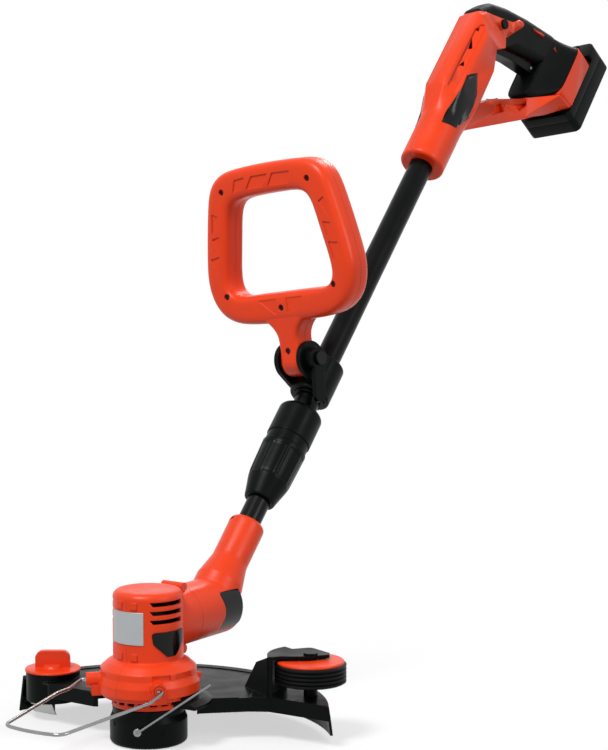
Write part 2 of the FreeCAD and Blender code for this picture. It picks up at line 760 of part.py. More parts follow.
def cut_line():
    """Nylon line from the eyelet in the cap, bent sharply at its exit."""
    start = polar(CAP_R - EYELET_SEAT, LINE_EXIT_TURN, LINE_Z)
    bend = polar(CAP_R + 6.5, LINE_EXIT_TURN, LINE_Z)
    return cord([start, bend, LINE_TIP], LINE_R)


def cord(points, radius):
    """Tube along straight runs joined by tangent arcs; prints the arcs' radii."""
    edges = []
    last = points[0]
    for i in range(1, len(points) - 1):
        a = points[i - 1] - points[i]
        b = points[i + 1] - points[i]
        run = min(a.Length, b.Length)
        a.normalize()
        b.normalize()
        turn = pi - a.getAngle(b)
        back = 0.45 * run
        bend = back / tan(turn / 2)
        print("bend radius", round(bend, 1), "for a line of", 2 * radius)
        inward = (a + b).normalize()
        near = points[i] + inward * (hypot(back, bend) - bend)
        first = points[i] + a * back
        final = points[i] + b * back
        edges.append(Part.LineSegment(last, first).toShape())
        edges.append(Part.Arc(first, near, final).toShape())
        last = final
    edges.append(Part.LineSegment(last, points[-1]).toShape())
    return sweep_round(Part.Wire(edges), radius)


def sweep_round(path, radius):
    start = path.Edges[0].firstVertex().Point
    way = path.Edges[0].tangentAt(path.Edges[0].FirstParameter)
    ring = Part.Wire([Part.makeCircle(radius, start, way)])
    return path.makePipeShell([ring], True, False)


# ---------------------------------------------------------------- wire guard
def wire_guard():
    """Steel wire bow that folds up over the housing."""
    x, y = wire_hinge()
    side = [(x, y - WIRE_SEAT, WIRE_BOSS_Z), (x, WIRE_HALF_WIDTH, WIRE_BOSS_Z)]
    side += [(across, WIRE_HALF_WIDTH, height) for across, height in WIRE_DROP] + [WIRE_FRONT]
    nose = (WIRE_NOSE_X, 0, WIRE_FRONT[2])
    points = [vec(*p) for p in side] + [vec(*nose)] + [vec(p[0], -p[1], p[2]) for p in reversed(side)]
    rounding = [0] + WIRE_BENDS + [WIRE_NOSE_BEND] + list(reversed(WIRE_BENDS))
    edges = []
    last = points[0]
    for i in range(1, len(points) - 1):
        a = (points[i - 1] - points[i]).normalize()
        b = (points[i + 1] - points[i]).normalize()
        turn = pi - a.getAngle(b)
        back = rounding[i] * tan(turn / 2)
        near = points[i] + (a + b).normalize() * (hypot(back, rounding[i]) - rounding[i])
        first = points[i] + a * back
        final = points[i] + b * back
        edges.append(Part.LineSegment(last, first).toShape())
        edges.append(Part.Arc(first, near, final).toShape())
        last = final
    edges.append(Part.LineSegment(last, points[-1]).toShape())
    return sweep_round(Part.Wire(edges), WIRE_R)


# ---------------------------------------------------------------- guard
def on_rim(angle, inset=0.0):
    """Point of the guard's rim, at an angle about the rim's own centre."""
    x, y = GUARD_CENTRE
    r = GUARD_R - inset
    return (x + r * cos(radians(angle)), y + r * sin(radians(angle)))


def rim_region(inset, low, high):
    """Segment of the disc inside the rim, between its two ends."""
    cx, cy = GUARD_CENTRE
    start = on_rim(RIM_FROM, inset)
    middle = on_rim((RIM_FROM + RIM_TO) / 2, inset)
    end = on_rim(RIM_TO, inset)
    arc = Part.Arc(vec(*start, low), vec(*middle, low), vec(*end, low)).toShape()
    spots = [vec(*end, low)] + [vec(x, y, low) for x, y in GUARD_FRONT] + [vec(*start, low)]
    edges = [arc]
    for i in range(len(spots) - 1):
        edges.append(Part.LineSegment(spots[i], spots[i + 1]).toShape())
    return Part.Face(Part.Wire(edges)).extrude(vec(0, 0, high - low))


def guard():
    """Cover plate, hanging rim, hub flange, spool holder and the arm of the edge wheel."""
    under = GUARD_TOP - GUARD_SHEET
    plate = rim_region(0, under, GUARD_TOP).cut(guard_panel())
    behind = block((-2 * GUARD_R, FLANGE_FRONT), (-GUARD_R, GUARD_R), (0, 2 * GUARD_TOP))
    flange = turned([
        (GUARD_HOLE_R, under, 0), (HUB_R, under, 0), (HUB_R, GUARD_TOP, 0),
        (FLANGE_R + 4, GUARD_TOP + HUB_RISE, 1),
        (FLANGE_R, GUARD_TOP + HUB_RISE, 0), (FLANGE_R, FLANGE_LIP_TO, 0.5), (DRUM_R, FLANGE_LIP_TO, 0),
        (DRUM_R, DRUM_FROM, 0), (GUARD_HOLE_R, DRUM_FROM, 0),
    ]).common(behind)
    ribs = []
    for angle in RIB_ANGLES:
        x, y = on_rim(angle, GUARD_WALL)
        rib = block((FLANGE_R, hypot(x, y)), (-1, 1), (under - RIB_DEPTH, GUARD_TOP - 1))
        rib.rotate(vec(0, 0, 0), Z_AXIS, degrees(atan2(y, x)))
        ribs.append(rib)
    whole = fused([plate, hanging_rim(), flange, front_lip()] + ribs + [holder_wall(), wheel_arm(),
        cutter_post()])
    whole = whole.cut(Part.makeCylinder(GUARD_HOLE_R, 60))
    whole = cut_all(whole, [screw_hole(*place) for place in guard_screw_places() + cutter_screw_places()])
    whole = cut_all(whole, [holder_room(), wheel_pin_hole()])
    return whole


def hanging_rim():
    """Thin wall that leans outwards as it comes down."""
    foot = GUARD_R + GUARD_FLARE
    wall = revolve([
        (GUARD_R - GUARD_WALL, GUARD_TOP), (GUARD_R, GUARD_TOP), (foot, GUARD_BOTTOM),
        (foot - GUARD_WALL, GUARD_BOTTOM),
    ], RIM_TO - RIM_FROM, RIM_FROM)
    wall.translate(vec(*GUARD_CENTRE, 0))
    return wall.cut(rim_end())


def rim_end():
    """The rim's right end slopes back under the corner of the plate."""
    x, y = on_rim(RIM_END)
    top = GUARD_TOP - GUARD_SHEET
    low = GUARD_BOTTOM - 20
    slope = RIM_END_BACK / (GUARD_TOP - GUARD_BOTTOM)
    cutter = slab_xz(sharp([(0, top), (60, top), (60, low), (-slope * (top - low), low)]), -30, 30)
    cutter.rotate(vec(0, 0, 0), Z_AXIS, RIM_END - 90)
    cutter.translate(vec(x, y, 0))
    return cutter


def front_lip():
    """Wall that hangs from the front edges of the plate, on both sides of the drum."""
    corners = GUARD_FRONT + [on_rim(RIM_FROM)]
    walls = []
    for i in range(len(corners) - 1):
        x, y = corners[i]
        run = corners[i + 1][0] - x, corners[i + 1][1] - y
        if min(abs(y), abs(corners[i + 1][1])) < FLANGE_R - LIP_FREE:
            continue
        wall = block((-LIP_WALL, hypot(*run) + LIP_WALL), (-LIP_WALL, LIP_WALL), (LIP_BOTTOM, GUARD_TOP - 1))
        wall.rotate(vec(0, 0, 0), Z_AXIS, degrees(atan2(run[1], run[0])))
        wall.translate(vec(x, y, 0))
        walls.append(wall)
    return fused(walls).common(rim_region(0, LIP_BOTTOM, GUARD_TOP))


def guard_panel():
    """Shallow panel between the hub, the rim, the wheel and the spool holder."""
    low = GUARD_TOP - PANEL_DEPTH
    panel = rim_region(PANEL_EDGE, low, GUARD_TOP + 1)
    panel = panel.cut(Part.makeCylinder(HUB_R + 3, 20, vec(0, 0, low)))
    panel = panel.cut(Part.makeCylinder(WHEEL_R + 24, 20, vec(*WHEEL_AT, low)))
    panel = panel.cut(Part.makeCylinder(HOLDER_R + 5, 20, vec(*HOLDER_AT, low)))
    return panel.cut(block((-50, 100), (-GUARD_R, GUARD_R), (low, low + 20)))


def holder_wall():
    x, y = HOLDER_AT
    return Part.makeCylinder(HOLDER_R, HOLDER_TO - HOLDER_FROM, vec(x, y, HOLDER_FROM))


def holder_room():
    x, y = HOLDER_AT
    room = Part.makeCylinder(HOLDER_R - 2.2, HOLDER_TO, vec(x, y, HOLDER_FROM + 2.2))
    post = Part.makeCylinder(SPARE_POST_R, HOLDER_TO - 12 - HOLDER_FROM, vec(x, y, HOLDER_FROM))
    return room.cut(post)


def spare_spool():
    x, y = HOLDER_AT
    low = HOLDER_FROM + 2.2
    reel = bobbin(SPARE_POST_R + 0.1, SPARE_POST_R + 4, HOLDER_R - 2.2 - 1, low, HOLDER_TO - 7)
    reel.translate(vec(x, y, 0))
    return reel


def spare_line():
    x, y = HOLDER_AT
    coil = pipe(HOLDER_R - 6, SPARE_POST_R + 4, HOLDER_FROM + 3.8, HOLDER_TO - 8.6)
    coil.translate(vec(x, y, 0))
    return coil


def spare_knob():
    """Lid of the spool holder with a wing to turn it by."""
    x, y = HOLDER_AT
    lid = turned([
        (0, HOLDER_TO - 5, 0), (HOLDER_R - 2.5, HOLDER_TO - 5, 0), (HOLDER_R - 2.5, HOLDER_TO + GAP, 0),
        (HOLDER_R + 1, HOLDER_TO + GAP, 0), (HOLDER_R + 1, KNOB_FROM, 1.5), (0, KNOB_FROM, 0),
    ])
    wing = slab_xz([
        (-KNOB_R, KNOB_FROM - 1, 0), (-KNOB_R, KNOB_TO, 8), (KNOB_R, KNOB_TO, 8), (KNOB_R, KNOB_FROM - 1, 0),
    ], -WING_HALF, WING_HALF)
    foot = turned([
        (0, KNOB_FROM - 1, 0), (WING_FOOT + 3, KNOB_FROM - 1, 0), (WING_FOOT, KNOB_FROM + 3, 2),
        (0, KNOB_FROM + 3, 0),
    ])
    lid = fused([lid, wing, foot])
    lid.rotate(vec(0, 0, 0), Z_AXIS, WING_TURN)
    lid.translate(vec(x, y, 0))
    return lid


def cutter_post():
    """Post on the rim that carries the blade which trims the line."""
    x = HOLDER_AT[0]
    far = GUARD_CENTRE[1] - GUARD_R - 4
    return block((x + 2, x + 7), (far, far + 36), (GUARD_BOTTOM + 1, HOLDER_FROM + 4))


def cutter_screw_places():
    x = HOLDER_AT[0] + 7 + CUTTER_SHEET + SCREW_HEAD
    y = GUARD_CENTRE[1] - GUARD_R
    return [(vec(x - SCREW_HEAD, y + 14 + s * 6, GUARD_BOTTOM + 10), vec(-1, 0, 0)) for s in (-1, 1)]


def line_cutter():
    x = HOLDER_AT[0] + 7
    y = GUARD_CENTRE[1] - GUARD_R + 2
    blade = slab_yz([(y + 6, 4, 1), (y + 36, 4, 0), (y + 30, 16, 0), (y + 6, 16, 1)], x, x + CUTTER_SHEET)
    return cut_all(blade, [screw_hole(*place) for place in cutter_screw_places()])


# ---------------------------------------------------------------- edge wheel
def wheel_arm():
    """Arched arm above the wheel: bent riser, top plate, gusset, and the pin's two bosses."""
    x, y = WHEEL_AT
    inner = WHEEL_R + ARM_CLEAR
    outer = inner + ARM_WALL
    riser = revolve([
        (inner, GUARD_TOP - 1), (outer, GUARD_TOP - 1), (outer, ARM_TO), (inner - ARM_PLATE_IN, ARM_TO),
        (inner - ARM_PLATE_IN, ARM_FROM), (inner, ARM_FROM),
    ], 2 * ARM_SPREAD, ARM_TURN - ARM_SPREAD)
    top = slab_xy(ARM_OUTLINE, ARM_FROM, ARM_TO)
    low_boss = Part.makeCylinder(WHEEL_BOSS_R, WHEEL_FROM - GAP - GUARD_TOP + 2, vec(0, 0, GUARD_TOP - 2))
    high_boss = Part.makeCylinder(WHEEL_BOSS_R, ARM_FROM + 1 - WHEEL_TO - GAP, vec(0, 0, WHEEL_TO + GAP))
    arm = fused([riser, top, high_boss, low_boss])
    arm.translate(vec(x, y, 0))
    gusset = slab_xz([(length, GUARD_TOP + height - 1, 0) for length, height in GUSSET], -ARM_WALL / 2,
        ARM_WALL / 2)
    gusset.rotate(vec(0, 0, 0), Z_AXIS, GUSSET_TURN)
    gusset.translate(vec(*GUSSET_AT, 0))
    return arm.fuse(gusset)


def wheel_pin_hole():
    x, y = WHEEL_AT
    return Part.makeCylinder(WHEEL_PIN_R, 80, vec(x, y, GUARD_TOP - GUARD_SHEET))


def wheel_pin():
    x, y = WHEEL_AT
    low = GUARD_TOP - GUARD_SHEET
    pin = turned([
        (0, low, 0), (WHEEL_PIN_R, low, 0.8), (WHEEL_PIN_R, ARM_TO, 0),
        (PIN_HEAD_R, ARM_TO, 0), (PIN_HEAD_R, ARM_TO + PIN_HEAD, 1), (0, ARM_TO + PIN_HEAD, 0),
    ])
    pin.translate(vec(x, y, 0))
    return pin


def wheel_hub():
    x, y = WHEEL_AT
    hub_r = WHEEL_R - TYRE_DEPTH
    hub = turned([
        (WHEEL_PIN_R + RUN, WHEEL_FROM, 0), (11, WHEEL_FROM, 0), (11, WHEEL_FROM + 3, 0),
        (hub_r, WHEEL_FROM + 3, 0), (hub_r, WHEEL_TO - 3, 0), (WHEEL_R - 2, WHEEL_TO - 3, 0),
        (WHEEL_R - 2, WHEEL_TO - 0.5, 2), (11, WHEEL_TO, 0), (WHEEL_PIN_R + RUN, WHEEL_TO, 0),
    ])
    groove = revolve([(14, WHEEL_FROM), (hub_r - 4, WHEEL_FROM), (hub_r - 4, WHEEL_TO - 6),
        (14, WHEEL_TO - 6)])
    for i in range(6):
        spoke = block((0, WHEEL_R), (-1.2, 1.2), (WHEEL_FROM, WHEEL_TO))
        spoke.rotate(vec(0, 0, 0), Z_AXIS, 60 * i)
        groove = groove.cut(spoke)
    hub = hub.cut(groove)
    hub.translate(vec(x, y, 0))
    return hub


def wheel_tyre():
    """Rubber tyre with round ribs."""
    x, y = WHEEL_AT
    hub_r = WHEEL_R - TYRE_DEPTH
    low = WHEEL_FROM + 3
    high = WHEEL_TO - 3
    pitch = (high - low) / TYRE_RIBS
    profile = [(hub_r, low)]
    for i in range(TYRE_RIBS):
        profile += [(WHEEL_R - 2, low + i * pitch), (WHEEL_R, low + (i + 0.3) * pitch)]
        profile += [(WHEEL_R, low + (i + 0.7) * pitch)]
    profile += [(WHEEL_R - 2, high), (hub_r, high)]
    tyre = revolve(profile)
    tyre.translate(vec(x, y, 0))
    return tyre


# ---------------------------------------------------------------- elbow
def elbow_halves():
    """Round knee with the socket for the shaft, split in the plane Y = 0."""
    start = -SEAM_X + GAP
    end = -ELBOW_END_X
    knee = on_roll(turned([(0, start, 0), (BOSS_R, start, 0.5), (BOSS_R, end, 10), (0, end, 0)]))
    socket = on_shaft(turned([
        (0, 0, 0), (SOCKET_R + 6, 0, 0), (SOCKET_R + 6, 30, 0), (SOCKET_R, 56, 25),
        (SOCKET_R, SOCKET_TO, 5), (0, SOCKET_TO, 0),
    ]))
    shell = fused([knee, socket])
    room = on_roll(turned([
        (0, start + BULKHEAD, 0), (BOSS_R - SHELL, start + BULKHEAD, 0),
        (BOSS_R - SHELL, end - SHELL, 8), (0, end - SHELL, 0),
    ]))
    bulkhead_hole = on_roll(Part.makeCylinder(SPIGOT_R + RUN, 60, vec(0, 0, start - 5)))
    bore = on_shaft(Part.makeCylinder(INNER_TUBE_R, SOCKET_TO, vec(0, 0, INNER_TUBE_FROM)))
    neck = on_shaft(Part.makeCylinder(INNER_TUBE_R - INNER_TUBE_WALL, INNER_TUBE_FROM + 1))
    shell = cut_all(shell, [room, bulkhead_hole, bore, neck, button_opening()])
    shell = cut_all(shell, [screw_hole(*place) for place in elbow_screw_places()])
    return halves(shell)


def elbow_screw_places():
    places = []
    for x, z, half in ELBOW_SCREWS:
        places.append((vec(x, -half, z), Y_AXIS))
    return places


def button_outline(grow):
    """Release button in side view; its front edge is hollow."""
    back, front = BUTTON_X
    low, high = BUTTON_Z
    return [
        (back - grow, low - grow, 5 + grow), (front + grow, low - grow, 3),
        (front - 5 + grow, (low + high) / 2, 26),
        (front + grow, high + grow, 3), (back - grow, high + grow, 5 + grow),
    ]


def button_opening():
    return slab_xz(button_outline(GAP), 0, 2 * BOSS_R)


def release_button():
    """Push button that frees the roll joint, with a hidden flange that keeps it in."""
    face = slab_xz(button_outline(0), BUTTON_FLANGE, 2 * BOSS_R)
    face = face.common(on_roll(Part.makeCylinder(BOSS_R, 200)))
    back, front = BUTTON_X
    low, high = BUTTON_Z
    flange = block((back, front + 2), (BUTTON_FLANGE - 3, BUTTON_FLANGE), (low - 1.5, high + 1.5))
    return fused([face, flange])


def inner_tube():
    tube = pipe(INNER_TUBE_R, INNER_TUBE_R - INNER_TUBE_WALL, INNER_TUBE_FROM, INNER_TUBE_TO)
    return on_shaft(tube)


def guide_bush():
    """Plastic plug in the top of the inner tube that slides in the outer tube."""
    bore = OUTER_TUBE_R - OUTER_TUBE_WALL
    plug_r = INNER_TUBE_R - INNER_TUBE_WALL - RUN
    bush = turned([
        (plug_r - 2, INNER_TUBE_TO - 16, 0), (plug_r, INNER_TUBE_TO - 16, 0),
        (plug_r, INNER_TUBE_TO + GAP, 0), (bore - RUN, INNER_TUBE_TO + GAP, 0),
        (bore - RUN, INNER_TUBE_TO + BUSH_LENGTH, 1), (plug_r - 2, INNER_TUBE_TO + BUSH_LENGTH, 0),
    ])
    return on_shaft(bush)


# ---------------------------------------------------------------- collar
def collar_nut():
    """Twist nut that squeezes the collet on to the inner tube."""
    nut = turned([
        (INNER_TUBE_R + 0.3, NUT_FROM, 0), (NUT_END_R, NUT_FROM, 2), (BAND_R, NUT_TAPER, 12),
        (COLLAR_R, NUT_TO, 0), (NECK_R + RUN, NUT_TO, 0), (NECK_R + RUN, COLLET_FROM, 0),
        (INNER_TUBE_R + 0.3, COLLET_FROM - 8, 0),
    ])
    for i in range(NUT_GROOVES):
        groove = rod(GROOVE_R, vec(COLLAR_R + 3.6, 0, NUT_TAPER - 8), vec(COLLAR_R + 4.6, 0, NUT_TO - 6))
        groove.rotate(vec(0, 0, 0), Z_AXIS, 360 * (i + 0.5) / NUT_GROOVES)
        nut = nut.cut(groove)
    return on_shaft(nut)


def collar_sleeve():
    """Fixed sleeve on the end of the outer tube, with the collet under the nut."""
    bore = OUTER_TUBE_R - OUTER_TUBE_WALL
    sleeve = turned([
        (bore, COLLET_FROM, 0), (NECK_R - 3, COLLET_FROM, 1), (NECK_R, COLLET_FROM + 5, 0),
        (NECK_R, NUT_TO + GAP, 0), (BAND_R, NUT_TO + GAP, 0.8), (BAND_R, BAND_TO, 0),
        (COLLAR_R, BAND_TO, 1), (COLLAR_R, COLLAR_TO, 6), (OUTER_TUBE_R + 3, COLLAR_TO + 2, 1),
        (OUTER_TUBE_R, COLLAR_TO + 2, 0), (OUTER_TUBE_R, OUTER_TUBE_FROM, 0), (bore, OUTER_TUBE_FROM, 0),
    ])
    for i in range(4):
        slit = block((bore - 1, NECK_R + 2), (-0.8, 0.8), (COLLET_FROM - 1, OUTER_TUBE_FROM - 4))
        slit.rotate(vec(0, 0, 0), Z_AXIS, 90 * i + 45)
        sleeve = sleeve.cut(slit)
    return on_upper(sleeve)


def outer_tube():
    return on_upper(pipe(OUTER_TUBE_R, OUTER_TUBE_R - OUTER_TUBE_WALL, OUTER_TUBE_FROM, OUTER_TUBE_TO))


# ---------------------------------------------------------------- clamp
def clamp_liner():
    """Split bush between the clamp and the tube; it slides along the tube."""
    liner = turned([
        (OUTER_TUBE_R + RUN, CLAMP_FROM - 2, 0), (LINER_R + 2, CLAMP_FROM - 2, 0.6),
        (LINER_R + 2, CLAMP_FROM - GAP, 0),
        (LINER_R, CLAMP_FROM - GAP, 0), (LINER_R, CLAMP_TO + GAP, 0), (LINER_R + 2, CLAMP_TO + GAP, 0),
        (LINER_R + 2, CLAMP_TO + 2, 0.6), (OUTER_TUBE_R + RUN, CLAMP_TO + 2, 0),
    ])
    return on_upper(liner.cut(block((-30, 0), (-1, 1), (CLAMP_FROM - 9, CLAMP_TO + 9))))


def clamp_body():
    """Split ring with two ears that the loop's stem turns between."""
    ring = turned([
        (LINER_R + RUN, CLAMP_FROM, 0), (CLAMP_R, CLAMP_FROM, 3), (CLAMP_R, CLAMP_TO, 3),
        (LINER_R + RUN, CLAMP_TO, 0),
    ])
    ears = []
    for low, high in ((STEM_HALF + GAP, EAR_OUT), (-EAR_OUT, -STEM_HALF - GAP)):
        ear = rod(EAR_R, vec(PIVOT_OUT, low, PIVOT_ALONG), vec(PIVOT_OUT, high, PIVOT_ALONG))
        web = block((4, PIVOT_OUT), (low, high), (PIVOT_ALONG - EAR_R, PIVOT_ALONG + EAR_R))
        ears += [ear, web]
    whole = fused([ring] + ears)
    whole = whole.cut(Part.makeCylinder(LINER_R + RUN, 100, vec(0, 0, CLAMP_FROM - 20)))
    stem_room = rod(LOOP_BOSS_R + 0.5, vec(PIVOT_OUT, -STEM_HALF - GAP, PIVOT_ALONG),
        vec(PIVOT_OUT, STEM_HALF + GAP, PIVOT_ALONG))
    bolt = rod(BOLT_R, vec(PIVOT_OUT, -60, PIVOT_ALONG), vec(PIVOT_OUT, 60, PIVOT_ALONG))
    split = block((-40, 0), (-1.5, 1.5), (CLAMP_FROM - 9, CLAMP_TO + 9))
    return on_upper(cut_all(whole, [stem_room, bolt, split]))


def clamp_bolt():
    """Carriage bolt through the ears, the stem and the lever."""
    shank = rod(BOLT_R, vec(PIVOT_OUT, -EAR_OUT, PIVOT_ALONG), vec(PIVOT_OUT, LEVER_OUT, PIVOT_ALONG))
    head = rod(9, vec(PIVOT_OUT, -EAR_OUT - 4, PIVOT_ALONG), vec(PIVOT_OUT, -EAR_OUT, PIVOT_ALONG))
    cap = rod(7.5, vec(PIVOT_OUT, LEVER_OUT, PIVOT_ALONG), vec(PIVOT_OUT, LEVER_OUT + 3, PIVOT_ALONG))
    return on_upper(fused([shank, head, cap]))


def clamp_lever():
    """Lever that tightens the clamp."""
    low = EAR_OUT + GAP
    tip_x = PIVOT_OUT - LEVER_REACH * sin(radians(LEVER_LEAN))
    tip_z = PIVOT_ALONG - LEVER_REACH * cos(radians(LEVER_LEAN))
    hub = rod(13, vec(PIVOT_OUT, low, PIVOT_ALONG), vec(PIVOT_OUT, LEVER_OUT - GAP, PIVOT_ALONG))
    inner = COLLAR_R + LEVER_CLEAR
    end = rod(8, vec(tip_x, inner, tip_z), vec(tip_x, LEVER_OUT - GAP, tip_z))
    arm = block((-8, 8), (inner, LEVER_OUT - GAP), (-LEVER_REACH, 0))
    arm.rotate(vec(0, 0, 0), Y_AXIS, LEVER_LEAN)
    arm.translate(vec(PIVOT_OUT, 0, PIVOT_ALONG))
    lever = fused([hub, end, arm])
    return on_upper(lever.cut(rod(BOLT_R + RUN, vec(PIVOT_OUT, 0, PIVOT_ALONG),
        vec(PIVOT_OUT, 60, PIVOT_ALONG))))


# ---------------------------------------------------------------- loop handle
def loop_outline(points):
    return points + [(-y, h, r) for y, h, r in reversed(points)]


def loop_halves():
    """Closed front handle: two mouldings that meet in the middle plane."""
    outer = slab_yz(loop_outline([(34, 217, 60), (61, 214, 22), (83, 194, 26), (104.5, 98, 26),
    (78, 50, 26), (40, 47, 26)]),
                    -LOOP_DEPTH, LOOP_DEPTH)
    inner = slab_yz(loop_outline([(34, 184.5, 20), (57, 174, 20), (75, 96, 16), (61, 77, 16)]),
                    -2 * LOOP_DEPTH, 2 * LOOP_DEPTH)
    frame = outer.cut(inner)
    rims = [edge for edge in frame.Edges if abs(abs(edge.CenterOfMass.x) - LOOP_DEPTH) < 0.01]
    frame = frame.makeFillet(LOOP_ROUND, rims)
    stem = slab_yz([
        (STEM_HALF, -6, 0), (STEM_HALF, 36, 9), (44, 54, 6), (44, 60, 0),
        (-44, 60, 0), (-44, 54, 6), (-STEM_HALF, 36, 9), (-STEM_HALF, -6, 0),
    ], -STEM_BACK, LOOP_DEPTH - 1)
    boss = rod(LOOP_BOSS_R, vec(0, -STEM_HALF, 0), vec(0, STEM_HALF, 0))
    trim = block((-LOOP_DEPTH + 1, LOOP_DEPTH - 1), (-60, 60), (0, 70))
    stem = stem.common(trim)
    whole = fused([frame, stem, boss])
    whole = whole.cut(rod(BOLT_R + RUN, vec(0, -60, 0), vec(0, 60, 0)))
    whole = cut_all(whole, [screw_hole(*place) for place in loop_screw_places()])
    whole = cut_all(whole, loop_pockets())
    front = whole.common(block((0, 60), (-150, 150), (-50, 250)))
    rear = whole.common(block((-60, 0), (-150, 150), (-50, 250)))
    return front, rear


def loop_screw_places():
    places = []
    for y, h in LOOP_SCREWS:
        places.append((vec(LOOP_DEPTH - 4, y, h), vec(-1, 0, 0)))
    return places


def loop_pockets():
    """Shallow pockets in the front of the loop's top bar."""
    pockets = []
    for side in (-1, 1):
        pocket = slab_yz([(side * 8, 194, 2), (side * 30, 194, 2), (side * 38, 208, 2), (side * 8, 208, 2)],
                         LOOP_DEPTH - 1.2, LOOP_DEPTH + 5)
        pockets.append(pocket)
    return pockets


# ---------------------------------------------------------------- rear handle
def barrel_section(along, inset=0.0):
    """Eight-sided section of the barrel, flat at the front."""
    s = BARREL_SIDE - inset
    corners = [
        (BARREL_FRONT - inset, 14), (20, s), (-14, s), (-26 + inset, 17),
        (-26 + inset, -17), (-14, -s), (20, -s), (BARREL_FRONT - inset, -14),
    ]
    spots = [vec(x, y, along) for x, y in corners]
    return Part.makePolygon(spots + spots[:1])


def neck_section(along, radius):
    """Circle drawn as eight arcs, so that it lofts to the barrel's section."""
    angles = [20, 55, 125, 155, 205, 235, 305, 340]
    edges = []
    for i in range(8):
        a = angles[i]
        b = angles[(i + 1) % 8]
        if b < a:
            b += 360
        middle = polar(radius, (a + b) / 2, along)
        edges.append(Part.Arc(polar(radius, a, along), middle, polar(radius, b, along)).toShape())
    return Part.Wire(edges)


def grip_outline():
    return [
        (37.5, 850, 0), (37, 861, 4), (31, 873, 12), (24, 885, 20), (-2, 903, 60), (-38, 922.5, 60),
        (-90, 946, 40),
        (-121, 953, 8), (-121, 889, 0), (-92, 891, 0), (-27, 857, 0), (-13, 837, 0),
        (-10, 815, 0), (37.5, 815, 0),
    ]


def grip_solid(inset):
    """The grip, rounded; a larger inset gives the core under the soft cover."""
    half = GRIP_HALF - inset
    face = Part.Face(rounded_wire(grip_outline(), lambda u, v: vec(u, -half, v)))
    if inset:
        face = Part.Face(Part.Wire(face.OuterWire.makeOffset2D(-inset).Edges))
    slab = face.extrude(vec(0, 2 * half, 0))
    edges = []
    for edge in slab.Edges:
        middle = edge.CenterOfMass
        on_side = abs(abs(middle.y) - half) < 0.01
        if on_side and edge.Length > 0.5 and middle.z > 850 and middle.x > -116 and middle.x < 36:
            edges.append(edge)
    return slab.makeFillet(GRIP_ROUND - inset, edges)


def foot_outline():
    return [
        (FOOT_FROM, -FOOT_HALF, 6), (FOOT_TO, -FOOT_HALF, 10), (FOOT_TO + 6, -FOOT_HALF + 16, 4),
        (FOOT_TO + 6, FOOT_HALF - 16, 4), (FOOT_TO, FOOT_HALF, 10), (FOOT_FROM, FOOT_HALF, 6),
    ]


def foot_slab(low, high, inset=0.0):
    """Slab of the foot between two distances from the shaft axis."""
    points = []
    for along, y, r in foot_outline():
        side = 1 if y > 0 else -1
        end = -1 if along > FOOT_FROM + 1 else 1
        points.append((y - side * inset, along + end * inset, r))
    return slab_yz(points, low, high)


def rail_prism(grow, start, end):
    """T-shaped rail of the battery, along the foot."""
    return fused([
        block((FOOT_OUT - grow, FOOT_OUT + RAIL_NECK + grow), (-RAIL_HALF - grow, RAIL_HALF + grow),
        (start, end)),
        block((FOOT_OUT + RAIL_NECK - grow, FOOT_OUT + RAIL_HEIGHT + grow),
              (-RAIL_HALF - 4 - grow, RAIL_HALF + 4 + grow), (start, end)),
    ])


def barrel_pieces():
    """Neck, flare, barrel and shoulder of the handle, from the bottom up."""
    neck = turned([
        (0, HANDLE_FROM, 0), (HANDLE_NECK_R, HANDLE_FROM, 4), (HANDLE_NECK_R, NECK_TO, 0), (0, NECK_TO, 0),
    ])
    flare = Part.makeLoft([neck_section(NECK_TO, HANDLE_NECK_R), barrel_section(BARREL_FROM)], True, True)
    barrel = Part.makeLoft([barrel_section(BARREL_FROM), barrel_section(BARREL_TO - 10)], True, True)
    shoulder = Part.makeLoft([barrel_section(BARREL_TO - 10), barrel_section(BARREL_TO, 6)], True, True)
    return [neck, flare, barrel, shoulder]


def handle_solid():
    """Hard shell of the rear handle before it is split."""
    back_cut = slab_xz(sharp([(-27, 765), (-3, 825), (-13, 837), (-40, 870), (-60, 870), (-60, 765)]),
        -60, 60)
    barrel = fused(barrel_pieces()).cut(back_cut)
    strut = slab_xz([
        (-20, 745, 0), (-42, 781, 8), (-97, 836, 6), (-94, 868, 0), (-149, 868, 0), (-149, 866, 4),
        (-107, 809, 30),
        (-30, 716, 30), (-10, 690, 0), (-8, 745, 0),
    ], -STRUT_HALF, STRUT_HALF)
    strut = cut_all(strut, strut_recesses())
    rim = foot_slab(FOOT_OUT, RIM_IN)
    core = grip_solid(GRIP_SKIN)
    panel = grip_solid(0).common(panel_prism())
    whole = fused([barrel, strut, rim, core, panel])
    return whole


def strut_recesses():
    cuts = []
    for points in STRUT_TRIANGLES:
        for low, high in ((STRUT_HALF - 2, STRUT_HALF + 5), (-STRUT_HALF - 5, -STRUT_HALF + 2)):
            cuts.append(slab_xz([(x, z, 2.5) for x, z in points], low, high))
    return cuts


def panel_prism():
    """Side panel of the grip that stays hard, between the soft parts of the cover."""
    return slab_xz([
        (47, 836, 0), (36, 857, 6), (20, 866, 40), (6, 875, 30), (-18, 891, 20), (-25, 904, 6),
        (-38, 909, 3),
        (-35, 899, 6), (-26, 880, 20), (-19, 864, 10), (-7, 852, 10), (-4, 840, 10), (-8, 826, 0),
        (47, 826, 0),
    ], -60, 60)


